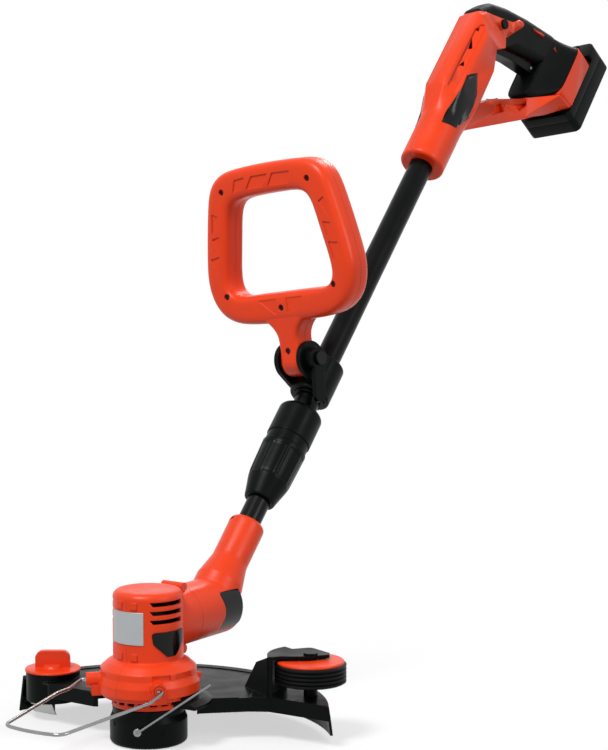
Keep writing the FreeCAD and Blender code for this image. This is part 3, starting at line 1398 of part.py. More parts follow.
def handle_pockets():
    """Rooms in the handle for the tube, the switch, the trigger, the lock bolt and the battery's rail."""
    barrel_room = Part.makeLoft([barrel_section(BARREL_FROM + 5, 3), barrel_section(BARREL_TO - 30, 3)],
        True, True)
    barrel_room = barrel_room.cut(slab_xz(sharp([(-28, 755), (2, 830), (2, 870), (-60, 870),
        (-60, 755)]), -60, 60))
    return [
        Part.makeCylinder(OUTER_TUBE_R, OUTER_TUBE_TO - HANDLE_FROM, vec(0, 0, HANDLE_FROM)),
        barrel_room,
        trigger_room(),
        switch_box(),
        rod(LOCK_R + RUN, vec(*lock_spot(-60)), vec(*lock_spot(60))),
        rail_prism(GAP, FOOT_FROM + 6, FOOT_TO + 20),
        terminal_box(),
    ]


def lock_spot(y):
    return (LOCK_AT[0], y, LOCK_AT[1])


def trigger_room():
    """Slot that the trigger swings into."""
    x, z = TRIGGER_PIVOT
    room = slab_xz(sharp([
        (-9, 832), (-93.5, 871), (-93.5, 893), (-70, 888), (-27, 873), (-15, 866), (-4, 850), (-4, 832),
    ]), -TRIGGER_HALF - GAP, TRIGGER_HALF + GAP)
    return room


def switch_box():
    return block((-58, -34), (-7, 7), (888, 908))


def terminal_box():
    return block((FOOT_OUT + 1.5, RIM_IN - 8), (-18, 18), (FOOT_FROM + 3, FOOT_FROM + 18))


def handle_halves():
    whole = cut_all(handle_solid(), handle_pockets())
    whole = cut_all(whole, [screw_hole(*place) for place in handle_screw_places()])
    return halves(whole)


def handle_screw_places():
    return [(vec(x, -half, z), Y_AXIS) for x, z, half in HANDLE_SCREWS]


def grip_cover():
    """Soft black cover moulded over the grip."""
    cover = grip_solid(0)
    cover = cut_all(cover, [grip_solid(GRIP_SKIN), panel_prism(), trigger_room()])
    cover = cut_all(cover, [rod(LOCK_R + RUN, vec(*lock_spot(-60)), vec(*lock_spot(60)))])
    cover = cut_all(cover, barrel_pieces()[2:] + [foot_slab(FOOT_OUT, FOOT_IN)])
    return cover


def foot_block():
    """Black block between the grip and the battery rim."""
    block_solid = foot_slab(RIM_IN, FOOT_IN, 1.5)
    block_solid = cut_all(block_solid, [grip_solid(GRIP_SKIN), slab_xz(sharp([
        (-80, 820), (-94, 868), (-149, 868), (-149, 820)]), -STRUT_HALF, STRUT_HALF)])
    return block_solid


def trigger():
    x, z = TRIGGER_PIVOT
    lever = slab_xz([
        (-14, 838, 2), (-50, 858, 60), (-90, 875, 4), (-92, 888, 3), (-60, 874, 0), (-28, 856, 3),
    ], -TRIGGER_HALF, TRIGGER_HALF)
    hole = rod(2.0 + RUN, vec(x, -30, z), vec(x, 30, z))
    return lever.cut(hole)


def trigger_pin():
    x, z = TRIGGER_PIVOT
    return rod(2.0, vec(x, -TRIGGER_HALF - GAP, z), vec(x, TRIGGER_HALF + GAP, z))


def lock_button():
    bolt = rod(LOCK_R, vec(*lock_spot(-GRIP_HALF - 2.5)), vec(*lock_spot(GRIP_HALF + 2.5)))
    return bolt


def terminal_block():
    body = terminal_box()
    blades = []
    for i in range(4):
        y = -13.5 + 9 * i
        blades.append(block((FOOT_OUT + 3, FOOT_OUT + 8), (y - 0.4, y + 0.4),
            (FOOT_FROM + 18, FOOT_FROM + 30)))
    return fused([body] + blades)


def battery_halves():
    """Case of the battery: the cup and the lid with its rail."""
    cup = slab_yz([
        (-FOOT_HALF, BATTERY_FROM, 8), (FOOT_HALF, BATTERY_FROM, 8), (FOOT_HALF, BATTERY_TO, 10),
        (-FOOT_HALF, BATTERY_TO, 10),
    ], BATTERY_OUT, FOOT_OUT - GAP)
    lid = slab_yz([
        (-FOOT_HALF, FOOT_TO + 7, 3), (FOOT_HALF, FOOT_TO + 7, 3), (FOOT_HALF, BATTERY_TO, 10),
        (-FOOT_HALF, BATTERY_TO, 10),
    ], FOOT_OUT - 2, BATTERY_RISE)
    rail = rail_prism(0, FOOT_FROM + 18 + GAP, FOOT_TO + 8)
    slots = []
    for i in range(4):
        y = -13.5 + 9 * i
        slots.append(block((FOOT_OUT + 2, FOOT_OUT + 9), (y - 1.2, y + 1.2), (FOOT_FROM, FOOT_FROM + 40)))
    join = block((FOOT_OUT - GAP - 1, FOOT_OUT + 1), (-RAIL_HALF, RAIL_HALF),
        (FOOT_FROM + 18 + GAP, FOOT_TO + 8))
    whole = fused([cup, lid, rail, join])
    whole = cut_all(whole, slots + [cell_room(), latch_room()])
    low = whole.common(block((BATTERY_OUT - 1, BATTERY_SPLIT), (-60, 60), (800, 1000)))
    high = whole.common(block((BATTERY_SPLIT, 0), (-60, 60), (800, 1000)))
    return low, high


def cell_spots():
    pitch = 2 * CELL_R + 0.6
    middle = (BATTERY_FROM + BATTERY_TO) / 2
    return [middle + (i - 2) * pitch for i in range(5)]


def cell_room():
    spots = cell_spots()
    return block((CELL_X - CELL_R, CELL_X + CELL_R), (-34, 34), (spots[0] - CELL_R, spots[-1] + CELL_R))


def battery_cells():
    return [rod(CELL_R, vec(CELL_X, -32.5, z), vec(CELL_X, 32.5, z)) for z in cell_spots()]


def latch_room():
    return block((FOOT_OUT - 5, BATTERY_RISE + 5), (-LATCH_WIDE - GAP, LATCH_WIDE + GAP),
        (BATTERY_TO - 12, BATTERY_TO + 5))


def battery_latch():
    return block((FOOT_OUT - 5 + 3.5, BATTERY_RISE + 1), (-LATCH_WIDE, LATCH_WIDE),
        (BATTERY_TO - 12 + GAP, BATTERY_TO - 1))


def side_badges():
    """Bare six-sided badge on each side of the barrel, seated on its curved side."""
    outline = [(22, 755, 2), (9, 771, 2), (-5, 747, 4), (-11, 712, 4), (0, 687, 3), (19, 681, 3)]
    plates = []
    for low, high in ((12, BARREL_SIDE + 0.8), (-BARREL_SIDE - 0.8, -12)):
        plates.append(cut_all(slab_xz(outline, low, high), barrel_pieces()))
    return plates


# ---------------------------------------------------------------- write the sub-parts
os.makedirs("parts", exist_ok=True)

left, right = housing_halves()
save("motor_housing_left", left)
save("motor_housing_right", right)
save("housing_screws", [screw(*place) for place in housing_screw_places()])
save("roll_spigot", roll_spigot())
save("rating_plate", rating_plate())
save("shield_badge", shield_badge())
save("motor_can", motor_can())
save("motor_bearings", bearings())
save("motor_rotor", motor_rotor())
save("cooling_fan", fan())
save("outlet_ring", outlet_ring())
save("spool_cap", spool_cap())
save("spool_carrier", spool_carrier())
save("spool", spool())
save("wound_line", wound_line())
save("eyelets", eyelets())
save("cut_line", cut_line())
save("wire_guard", wire_guard())
save("guard", guard())
save("guard_screws", [screw(*place) for place in guard_screw_places()])
save("line_cutter", line_cutter())
save("cutter_screws", [screw(*place) for place in cutter_screw_places()])
save("spare_spool", spare_spool())
save("spare_line", spare_line())
save("spare_knob", spare_knob())
save("wheel_pin", wheel_pin())
save("wheel_hub", wheel_hub())
save("wheel_tyre", wheel_tyre())

left, right = elbow_halves()
save("elbow_left", left)
save("elbow_right", right)
save("elbow_screws", [screw(*place) for place in elbow_screw_places()])
save("release_button", release_button())
save("inner_tube", inner_tube())
save("guide_bush", guide_bush())
save("collar_nut", collar_nut())
save("collar_sleeve", collar_sleeve())
save("outer_tube", outer_tube())
save("clamp_liner", clamp_liner())
save("clamp_body", clamp_body())
save("clamp_bolt", clamp_bolt())
save("clamp_lever", clamp_lever())

front, rear = loop_halves()
save("loop_handle_front", on_loop(front))
save("loop_handle_rear", on_loop(rear))
save("loop_screws", [on_loop(screw(*place)) for place in loop_screw_places()])

left, right = handle_halves()
save("handle_left", on_upper(left))
save("handle_right", on_upper(right))
save("handle_screws", [on_upper(screw(*place)) for place in handle_screw_places()])
save("grip_cover", on_upper(grip_cover()))
save("foot_block", on_upper(foot_block()))
save("side_badges", [on_upper(plate) for plate in side_badges()])
save("trigger_switch", on_upper(switch_box()))
save("trigger", on_upper(trigger()))
save("trigger_pin", on_upper(trigger_pin()))
save("lock_button", on_upper(lock_button()))
save("terminal_block", on_upper(terminal_block()))

low, high = battery_halves()
save("battery_cup", on_upper(low))
save("battery_lid", on_upper(high))
save("battery_cells", [on_upper(cell) for cell in battery_cells()])
save("battery_latch", on_upper(battery_latch()))
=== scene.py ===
# %% [markdown]
# # A cordless string trimmer, dressed in Blender
# The trimmer arrives as a finished assembly: every moulding, tube, screw and wheel is already a solid at its
# true size, in metres, with +Z up and the spool's axis at the origin. Blender's work is the looks: what each
# piece is made of, how its surface was moulded, drawn or coated, and the light that shows it.

# %% Load the assembly
import bmesh
import bpy
import json
import numpy as np
from math import cos, radians, sin
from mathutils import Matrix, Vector


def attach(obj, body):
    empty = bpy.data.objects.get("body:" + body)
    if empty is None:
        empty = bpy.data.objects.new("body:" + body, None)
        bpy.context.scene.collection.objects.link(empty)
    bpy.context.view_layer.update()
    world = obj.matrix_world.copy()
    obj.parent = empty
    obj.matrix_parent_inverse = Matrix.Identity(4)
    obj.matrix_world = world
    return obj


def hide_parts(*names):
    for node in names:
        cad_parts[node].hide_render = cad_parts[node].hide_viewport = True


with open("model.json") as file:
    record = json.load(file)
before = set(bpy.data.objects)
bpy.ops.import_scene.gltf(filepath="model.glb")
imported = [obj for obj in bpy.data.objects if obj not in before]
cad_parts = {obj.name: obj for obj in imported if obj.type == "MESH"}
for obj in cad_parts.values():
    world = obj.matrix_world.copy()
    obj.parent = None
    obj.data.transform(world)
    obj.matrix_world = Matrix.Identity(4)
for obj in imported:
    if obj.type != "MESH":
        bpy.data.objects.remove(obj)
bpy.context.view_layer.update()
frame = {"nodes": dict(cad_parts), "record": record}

# %% [markdown]
# ## The camera
# A long lens far away keeps a tall object's proportions: its near end isn't swollen. The camera stands to the
# front and left of the head, a little above the middle of the shaft, and looks slightly down.

# %% Place the camera
CAMERA_AT = (1.6341, 1.2506, 0.5671)
CAMERA_HEADING = 213.11     # degrees from +X towards +Y
CAMERA_PITCH = -5.593
SENSOR_HIGH = 36.0
LENS = 100.8
NEAREST, FARTHEST = 0.05, 50.0      # metres between which the camera sees


def put(name, data):
    """New object that shows this data, linked into the scene."""
    made = bpy.data.objects.new(name, data)
    bpy.context.collection.objects.link(made)
    return made


def heading_vector(heading, pitch):
    """Unit vector at a heading round Z and a pitch above the horizon, both in degrees."""
    h = radians(heading)
    p = radians(pitch)
    return Vector((cos(p) * cos(h), cos(p) * sin(h), sin(p)))


def facing(direction):
    """Turn that points the -Z of a camera or lamp along a direction and keeps its +Y up."""
    return direction.to_track_quat("-Z", "Y").to_euler()


camera_data = bpy.data.cameras.new("camera")
camera_data.sensor_fit = "VERTICAL"
camera_data.sensor_height = SENSOR_HIGH
camera_data.lens = LENS
camera_data.clip_start = NEAREST
camera_data.clip_end = FARTHEST
camera = put("camera", camera_data)
camera.location = CAMERA_AT
camera.rotation_euler = facing(heading_vector(CAMERA_HEADING, CAMERA_PITCH))
bpy.context.scene.camera = camera
print("camera", [round(c, 3) for c in camera.location], "lens", LENS)

# %% [markdown]
# ## The cutting line
# The line is 2 mm nylon, stiff enough to stand out from its eyelet by itself. It leaves the cap straight, turns
# at once and then runs straight to its cut end. A NURBS curve of order 3 draws that from four points: it starts
# and ends on the outer two and is only guided by the others, so the bend stays soft.

# %% Draw the line as a curve
LINE_THICK = 0.002
EXIT_TURN = radians(20.5)
EXIT_HEIGHT = 0.0175
EYELET_SEAT_R = 0.0367      # the line starts inside its eyelet
BEND_R = 0.0452
LINE_TIP = Vector((0.030, 0.097, 0.075))

line_start = Vector((EYELET_SEAT_R * cos(EXIT_TURN), EYELET_SEAT_R * sin(EXIT_TURN), EXIT_HEIGHT))
line_bend = Vector((BEND_R * cos(EXIT_TURN), BEND_R * sin(EXIT_TURN), EXIT_HEIGHT))
short_run = (line_bend - line_start).length
after_bend = line_bend + (LINE_TIP - line_bend).normalized() * short_run
line_points = [line_start, line_bend, after_bend, LINE_TIP]

line_data = bpy.data.curves.new("nylon_line", "CURVE")
line_data.dimensions = "3D"
line_data.bevel_depth = 1.0     # times each point's own radius, so the curve's box is the line's
line_data.bevel_resolution = 6
line_data.resolution_u = 24
line_data.use_fill_caps = True
spline = line_data.splines.new("NURBS")
spline.points.add(len(line_points) - 1)
for point, place in zip(spline.points, line_points):
    point.co = (*place, 1.0)
    point.radius = LINE_THICK / 2
spline.order_u = 3
spline.use_endpoint_u = True
nylon_line = put("nylon_line", line_data)
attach(nylon_line, "spool_head")
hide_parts("cut_line")

# %% [markdown]
# ## The sky
# Catalogue light is broad and even. The sky is a pale grey that only fills the shadows. Where the camera, a
# reflection or a refraction looks at it, it is plain white, so the background stays white while the object
# isn't washed out. Light Path tells the rays apart, and the larger of its answers picks the strength.

# %% Light the sky
FILL_STRENGTH = 0.34
scene = bpy.context.scene
scene.view_settings.view_transform = "Standard"


def bare_tree(owner):
    """Node tree of a material or world, emptied."""
    owner.use_nodes = True
    owner.node_tree.nodes.clear()
    return owner.node_tree


def add(tree, kind, inputs=None, **settings):
    """Add one node. Settings are its own options; inputs are values, or sockets to link from."""
    node = tree.nodes.new("ShaderNode" + kind)
    for name, value in settings.items():
        setattr(node, name, value)
    for name, value in (inputs or {}).items():
        if isinstance(value, bpy.types.NodeSocket):
            tree.links.new(value, node.inputs[name])
        else:
            node.inputs[name].default_value = value
    return node


sky = bpy.data.worlds.new("sky")
scene.world = sky
tree = bare_tree(sky)
rays = add(tree, "LightPath").outputs
seen_or_mirrored = add(tree, "Math", {0: rays["Is Camera Ray"], 1: rays["Is Glossy Ray"]}, operation="MAXIMUM")
looked_at = add(tree, "Math", {0: seen_or_mirrored.outputs[0], 1: rays["Is Transmission Ray"]},
                operation="MAXIMUM")
strength = add(tree, "MapRange", {"Value": looked_at.outputs[0], "To Min": FILL_STRENGTH, "To Max": 1.0})
white = add(tree, "Background", {"Color": (1, 1, 1, 1), "Strength": strength.outputs[0]})
add(tree, "OutputWorld", {"Surface": white.outputs[0]})
print("sky nodes", len(tree.nodes))

# %% [markdown]
# ## Panels of light
# One large square panel above the front models the round forms, a second one on the object's left opens the
# shadows, and a third from behind draws a rim along the black tubes. An area light's size sets how soft its
# shadows are.

# %% Hang the panels
MIDDLE = Vector((-0.40, 0.0, 0.45))     # what every panel looks at


def panel(name, heading, pitch, away, size, power):
    """Square area light, seen from the object at a heading and a pitch, that faces the object."""
    light = bpy.data.lights.new(name, "AREA")
    light.shape = "SQUARE"
    light.size = size
    light.energy = power
    lamp = put(name, light)
    toward = heading_vector(heading, pitch)
    lamp.location = MIDDLE + toward * away
    lamp.rotation_euler = facing(-toward)


# name, heading and pitch in degrees, metres away, metres across, watts
panel("key", -2, 50, 3.0, 0.9, 70)
panel("right_fill", 88, 24, 3.2, 1.2, 26)
panel("back_rim", 190, 40, 3.0, 0.9, 26)

# %% [markdown]
# ## The floor
# A pale floor takes the soft shadow under the head. Far from the head it thins out and lets the white sky
# through, so the picture has no horizon line. The distance from the middle of the plane, smoothed between two
# radii, mixes a matte surface with a clear one. Even at its fullest the floor is partly clear, so a head that
# is let down through it still shows.

# %% Make the floor
FLOOR_HALF = 2.2
FLOOR_DROP = 0.0005         # metres below the head, so the two faces don't flicker
FLOOR_FULL = 0.12           # metres round the head where the floor is at its fullest
FLOOR_GONE = 0.55
FLOOR_THIN = 0.6            # how clear it is there, which keeps its shadow light


def linear(code):
    """Six hex digits of an sRGB colour, turned to the linear RGBA that shaders use."""
    levels = np.array([int(code[i:i + 2], 16) for i in (0, 2, 4)]) / 255
    low = levels / 12.92
    high = ((levels + 0.055) / 1.055) ** 2.4
    return (*np.where(levels <= 0.04045, low, high).tolist(), 1.0)


floor_mesh = bpy.data.meshes.new("floor")
corners = np.array([[-1, -1, 0], [1, -1, 0], [1, 1, 0], [-1, 1, 0]]) * FLOOR_HALF
floor_mesh.from_pydata(corners.tolist(), [], [[0, 1, 2, 3]])
floor = put("floor", floor_mesh)
floor.location.z = -FLOOR_DROP

paper = bpy.data.materials.new("white_paper_roll")
tree = bare_tree(paper)
place = add(tree, "TexCoord")
distance = add(tree, "VectorMath", {0: place.outputs["Object"]}, operation="LENGTH")
fade = add(tree, "MapRange", {"Value": distance.outputs["Value"], "From Min": FLOOR_FULL,
                              "From Max": FLOOR_GONE, "To Min": FLOOR_THIN}, interpolation_type="SMOOTHSTEP")
matte = add(tree, "BsdfDiffuse", {"Color": linear("F6F6F6")})
clear = add(tree, "BsdfTransparent")
mixed = add(tree, "MixShader", {0: fade.outputs[0], 1: matte.outputs[0], 2: clear.outputs[0]})
add(tree, "OutputMaterial", {"Surface": mixed.outputs[0]})
floor_mesh.materials.append(paper)
print("floor fades from", FLOOR_FULL, "to", FLOOR_GONE, "m")

# %% [markdown]
# ## How a moulded surface is built up
# Every finish starts from the same few nodes: Object coordinates, so that a pattern keeps its size on every
# piece; a coarse noise for the slight unevenness of colour and gloss that a mould leaves; and a fine noise for
# its grain, which only moves the light through a Bump node. A Bevel node lets the light see the small radius
# that every moulded edge has. Sizes are given in millimetres. Real grain is often 0.1 mm or less, too fine to
# show on a tool a metre long, so it is drawn as coarse as it needs to show.

# %% One start for every finish
CLOUD_LOW, CLOUD_HIGH = 0.3, 0.7    # noise seldom leaves this range


def per_mm(size):
    """Noise scale for spots of this size: Object coordinates are metres, so it is spots per metre."""
    return 1000.0 / size


def surface(name, colour, deep, rough, grain, depth, shader, cloud=30.0, rough_swing=0.08, stretch=(1, 1, 1),
            edge=1.0):
    """Principled surface with two tones in soft clouds, uneven gloss and a bumped grain.
    colour and deep are hex tones; grain and cloud are sizes in mm; depth is the bump's height in mm; shader
    holds the values of the shader's own sockets; edge is the radius in mm that light sees on an edge."""
    made = bpy.data.materials.new(name)
    tree = bare_tree(made)
    place = add(tree, "TexCoord")
    shaped = add(tree, "Mapping", {"Vector": place.outputs["Object"], "Scale": stretch})
    clouds = add(tree, "TexNoise", {"Vector": place.outputs["Object"], "Scale": per_mm(cloud), "Detail": 3.0})
    grains = add(tree, "TexNoise", {"Vector": shaped.outputs[0], "Scale": per_mm(grain), "Detail": 2.0,
                                    "Roughness": 0.6})
    tone = add(tree, "Mix", {0: clouds.outputs["Fac"], 6: linear(deep), 7: linear(colour)}, data_type="RGBA")
    gloss = add(tree, "MapRange", {"Value": clouds.outputs["Fac"], "From Min": CLOUD_LOW,
                                   "From Max": CLOUD_HIGH, "To Min": rough - rough_swing,
                                   "To Max": rough + rough_swing})
    rounded = add(tree, "Bevel", {"Radius": edge / 1000}, samples=4)
    relief = add(tree, "Bump", {"Height": grains.outputs["Fac"], "Distance": depth / 1000, "Strength": 1.0,
                                "Normal": rounded.outputs[0]})
    body = add(tree, "BsdfPrincipled", {"Base Color": tone.outputs[2], "Roughness": gloss.outputs[0],
                                        "Normal": relief.outputs[0], **shader})
    add(tree, "OutputMaterial", {"Surface": body.outputs[0]})
    return made


print("noise scale for 1 mm spots", per_mm(1.0))

# %% [markdown]
# ## Plastics and rubber
# ABS takes a bright pigment well and comes from a spark-eroded mould with a satin skin. Glass-filled nylon is
# tougher and duller. The grip's soft cover is TPE, which hardly shines. Bare polycarbonate comes from a polished
# mould. Each finish is named for the real material, and its IOR is that material's own.

# %% Mix the plastics
finishes = {
    # Satin: broad, soft highlights that leave the pigment its colour.
    "orange_shell": surface("abs_satin_orange", "EE420F", "E2390A", 0.36, 0.9, 0.012,
                            {"IOR": 1.53, "Specular IOR Level": 0.26}, edge=1.6),
    # Glass fibres near the skin dull it: a deep black with a weak sheen.
    "black_shell": surface("glass_nylon_black", "050908", "040706", 0.34, 0.8, 0.018,
                           {"IOR": 1.53, "Specular IOR Level": 0.065}, edge=1.4),
    # A soft skin spreads its highlight until it is nearly gone.
    "soft_cover": surface("tpe_soft_black", "060808", "040505", 0.44, 0.6, 0.02,
                          {"IOR": 1.5, "Specular IOR Level": 0.07}, edge=1.6),
    # Rubber, a little greyer and rougher than the plastic beside it.
    "tyre": surface("rubber_tyre_black", "0A0B0B", "070808", 0.46, 1.2, 0.03,
                    {"IOR": 1.52, "Specular IOR Level": 0.1}),
    # A polished mould: sharp highlights on a slightly wavy skin.
    "gloss_black": surface("pc_polished_black", "050607", "040506", 0.14, 6.0, 0.004,
                           {"IOR": 1.58, "Specular IOR Level": 0.16}, rough_swing=0.03),
    # Drawn line: milky grey with an even shine.
    "nylon": surface("nylon_monofilament_grey", "9AA0A4", "80868A", 0.30, 1.0, 0.006, {"IOR": 1.53}),
}
print("plastics", len(finishes))

# %% [markdown]
# ## Metals and coatings
# Powder coat on the outer tube has the slight orange peel of a baked film, and the enamel on the inner tube is
# smoother, since it has to slide. Bare metal has no colour under its shine: Metallic 1 tints the reflection
# itself, and the IOR stays at its default.

# %% Mix the metals
METAL = {"Metallic": 1.0}
finishes.update({
    # Orange peel: a long highlight that breaks up slightly.
    "tube_black": surface("powder_coat_black", "08090A", "060707", 0.27, 1.8, 0.008,
                          {"IOR": 1.5, "Specular IOR Level": 0.09}),
    # Enamel: the same black with a clearer highlight.
    "tube_inner": surface("stove_enamel_black", "070809", "050606", 0.24, 1.4, 0.004,
                          {"IOR": 1.5, "Specular IOR Level": 0.12}),
    # Zinc: a cool grey with soft reflections.
    "bare_steel": surface("zinc_plated_steel", "B9BAB8", "9DA09E", 0.34, 0.7, 0.006, METAL),
    # A drawn wire is burnished by its die, so it shines the most.
    "chrome_wire": surface("bright_drawn_wire", "9C9E9F", "828485", 0.22, 0.5, 0.004, METAL, rough_swing=0.05),
    # Brushed: the grain is drawn out into fine lines, and a clear lacquer takes some of the metal's shine.
    "plate_silver": surface("brushed_aluminium_plate", "B4B7B9", "A4A8AA", 0.36, 0.35, 0.005,
                            {"Metallic": 0.6}, stretch=(1, 1, 12)),
    # Sintered bearings: warm and dull.
    "brass": surface("sintered_bronze", "B08A4A", "8E6C36", 0.42, 0.8, 0.01, METAL),
    # Painted shade: a dark steel for screw heads and the motor can, standing in for the shade of their seats and
    # vents.
    "dark_steel": surface("steel_darkened_as_painted_shade", "2A2A2B", "1B1B1C", 0.42, 0.7, 0.006, METAL),
})
print("finishes", len(finishes))

# %% [markdown]
# ## A finish for every node
# The record names a material slot for each node. A few steel nodes sit in dark seats or behind the vents,
# and take a dark steel instead: painted shade for where they sit.

# %% Give every node its finish
# These steel nodes get the dark steel as painted shade for their seats and the vents.
DARK_STEEL = ("loop_screws", "handle_screws", "elbow_screws", "housing_screws", "clamp_bolt", "motor_can")
for part in frame["record"]["subparts"]:
    node = frame["nodes"][part["node"]]
    finish = "dark_steel" if part["node"] in DARK_STEEL else part["material_slot"]
    node.data.materials.clear()
    node.data.materials.append(finishes[finish])
nylon_line.data.materials.append(finishes["nylon"])
print("nodes in dark steel", len(DARK_STEEL))

# %% [markdown]
# ## Frames along the shaft
# The handles are drawn in the shaft's own directions, where they are symmetric, and then turned and moved to
# where they stand. Each frame is a rotation matrix and an offset, applied to whole arrays of points at once.

# %% Where the loop and the shaft stand
SHAFT_SLOPE = 46.1          # degrees above the ground
KNEE_TILT = SHAFT_SLOPE - 90
UPPER_TURN = -10.9          # the upper half is turned about the shaft
KNEE = np.array([-101.6, 0.0, 117.5])
LOOP_TILT = 47.5
PIVOT = np.array([36.5, 0.0, 300.6])     # in the shaft's frame, mm


def turn_y(degrees):
    """Matrix that turns points about Y: x' = c x + s z, z' = c z - s x."""
    c, s = cos(radians(degrees)), sin(radians(degrees))
    return np.array([[c, 0, s], [0, 1, 0], [-s, 0, c]])


def turn_z(degrees):
    """Matrix that turns points about Z: x' = c x - s y, y' = s x + c y."""
    c, s = cos(radians(degrees)), sin(radians(degrees))
    return np.array([[c, -s, 0], [s, c, 0], [0, 0, 1]])


def from_upper(points):
    """Shaft frame in mm (x out of the shaft, y, z up it) to the tool's frame in metres."""
    turned = points @ (turn_y(KNEE_TILT) @ turn_z(UPPER_TURN)).T
    return (turned + KNEE) / 1000


def from_loop(points):
    """Loop frame in mm (x to its front, y, z up the loop from its pivot) to the tool's frame in metres."""
    return from_upper(points @ turn_y(LOOP_TILT).T + PIVOT)


print("loop pivot at", from_loop(np.zeros((1, 3))).round(3).tolist())

# %% [markdown]
# ## Surfaces from grids of points
# Every new piece is a grid: rows by columns of points, computed as one array. Neighbours in the grid make a
# quad, and an index array rolled by one place finds all the neighbours at once. Merging doubles closes poles and
# seams, and faces that meet at more than a given angle keep a sharp edge between them.

# %% A grid of points made into a mesh
CREASE = 40.0               # degrees
SAME_PLACE = 1e-6           # metres between points that count as one


def grid_mesh(name, points, around=True, along=True):
    """Object from an array of points (rows, columns, 3). around closes the columns, along closes the rows;
    where the rows stay open, each end row is closed by one flat face."""
    rows, columns = points.shape[:2]
    index = np.arange(rows * columns).reshape(rows, columns)
    down = np.roll(index, -1, 0) if along else index[1:]
    here = index if along else index[:-1]
    if around:
        quads = np.stack([here, np.roll(here, -1, 1), np.roll(down, -1, 1), down], -1)
    else:
        quads = np.stack([here[:, :-1], here[:, 1:], down[:, 1:], down[:, :-1]], -1)
    faces = quads.reshape(-1, 4).tolist()
    if not along and around:
        faces += [index[0][::-1].tolist(), index[-1].tolist()]
    mesh = bpy.data.meshes.new(name)
    mesh.from_pydata(points.reshape(-1, 3).tolist(), [], faces)
    mesh.validate()
    return put(name, mesh)


def outward(made, crease=CREASE):
    """Merge doubles, turn the faces outwards, and shade smooth but for edges sharper than the crease angle."""
    shape = bmesh.new()
    shape.from_mesh(made.data)
    bmesh.ops.remove_doubles(shape, verts=shape.verts, dist=SAME_PLACE)
    bmesh.ops.recalc_face_normals(shape, faces=shape.faces)
    shape.to_mesh(made.data)
    shape.free()
    made.data.polygons.foreach_set("use_smooth", np.ones(len(made.data.polygons), bool))
    made.data.set_sharp_from_angle(angle=radians(crease))
    return made


print("edges stay sharp from", CREASE, "degrees")

# %% [markdown]
# ## The loop handle as one swept form
# The front handle is a closed ring of ABS in two shells, front and rear. Seen along its depth it is a soft
# trapezium, and its section is a rounded box. Two closed curves, the outer and the inner edge, are drawn through
# a few guiding points, and the section is carried round between them as an array: one parameter runs round the
# ring and the other round the section. A box cut to shape would need its edges rounded afterwards; here they
# come out round.

# %% The ring's two edges
RING_STEPS = 160


def closed_curve(guides, count):
    """Periodic cubic B-spline guided by the points: every place is a weighted mean of the four nearest guides."""
    guides = np.array(guides, float)
    at = np.linspace(0, len(guides), count, endpoint=False)
    first = at.astype(int)
    t = (at - first)[:, None]
    weights = [(1 - t) ** 3 / 6,
               (3 * t ** 3 - 6 * t ** 2 + 4) / 6,
               (-3 * t ** 3 + 3 * t ** 2 + 3 * t + 1) / 6,
               t ** 3 / 6]
    return sum(w * guides[(first + k - 1) % len(guides)] for k, w in enumerate(weights))


def mirrored(side):
    """A right-hand list of (y, height) guides, closed by its mirror image."""
    return side + [(-y, h) for y, h in reversed(side)]


outer_edge = closed_curve(mirrored([(18, 219), (42, 218), (66, 216), (84, 203), (91, 180), (98, 150), (104, 120),
                                    (108, 92), (98, 62), (76, 47), (48, 44), (20, 43)]), RING_STEPS)
inner_edge = closed_curve(mirrored([(14, 185), (34, 184.5), (52, 182), (61, 170), (65, 150), (70, 126), (75, 104),
                                    (76, 86), (66, 76), (46, 77), (30, 77), (12, 77)]), RING_STEPS)
print("ring width and height in mm", np.ptp(outer_edge, axis=0).round(1).tolist())

# %% Sweep the ring between its two edges
SECTION_STEPS = 28
LOOP_DEPTH = 17.0
RING_BOX = 0.52             # power of the section's waves: 1 is an ellipse, 0 a sharp box
PARTING = 0.15              # half the seam between the two shells


def box_wave(wave, power):
    """Sine or cosine pushed towards a box: its sign times its size to a power below 1."""
    return np.sign(wave) * np.abs(wave) ** power


def ring_half(name, side):
    """Half a ring: for each place round it, the section turns half a circle from one edge to the other."""
    turn = np.linspace(0, np.pi, SECTION_STEPS)[None, :, None]
    middle = ((outer_edge + inner_edge) / 2)[:, None, :]
    reach = ((outer_edge - inner_edge) / 2)[:, None, :]
    flat = middle + reach * box_wave(np.cos(turn), RING_BOX)
    depth = side * (PARTING + (LOOP_DEPTH - PARTING) * box_wave(np.sin(turn[..., 0]), RING_BOX))
    depth = np.broadcast_to(depth, flat.shape[:2])
    return outward(grid_mesh(name, from_loop(np.concatenate([depth[..., None], flat], -1))))


ring_front = ring_half("loop_ring_front", 1)
ring_rear = ring_half("loop_ring_rear", -1)
print("ring faces", len(ring_front.data.polygons), len(ring_rear.data.polygons))

# %% [markdown]
# ## The stem of the loop
# Below the ring the two shells narrow to a stem that ends in a round boss between the clamp's ears. It is a
# stack of rounded boxes: each height has its own half width and its own depth, and the same squared waves as the
# ring's draw the section.

# %% Stack the stem
STEM_LEVELS = 26
STEM_TOP = 62.0
STEM_HALF = 13.0            # half width below the flare
STEM_BACK = 14.0
STEM_FRONT = 16.0
STEM_BOX = 0.3
FLARE_FROM, FLARE_RISE = 22.0, 32.0
FLARE_WIDE, FLARE_POWER = 30.0, 2.2
BOSS_R = 18.0
BOSS_END, BOSS_BLEND = -2.0, 14.0   # from here up, over this rise, the boss's depth turns into the stem's
BOSS_SLIM, BOSS_TIP = 0.999, 0.02   # a hair slimmer than its circle, and not quite closed at its foot


def stem_half_width(height):
    """Half width = straight part + flare's width * (way up the flare) to a power, which starts it smoothly."""
    rise = np.clip((height - FLARE_FROM) / FLARE_RISE, 0, 1)
    return STEM_HALF + FLARE_WIDE * rise ** FLARE_POWER


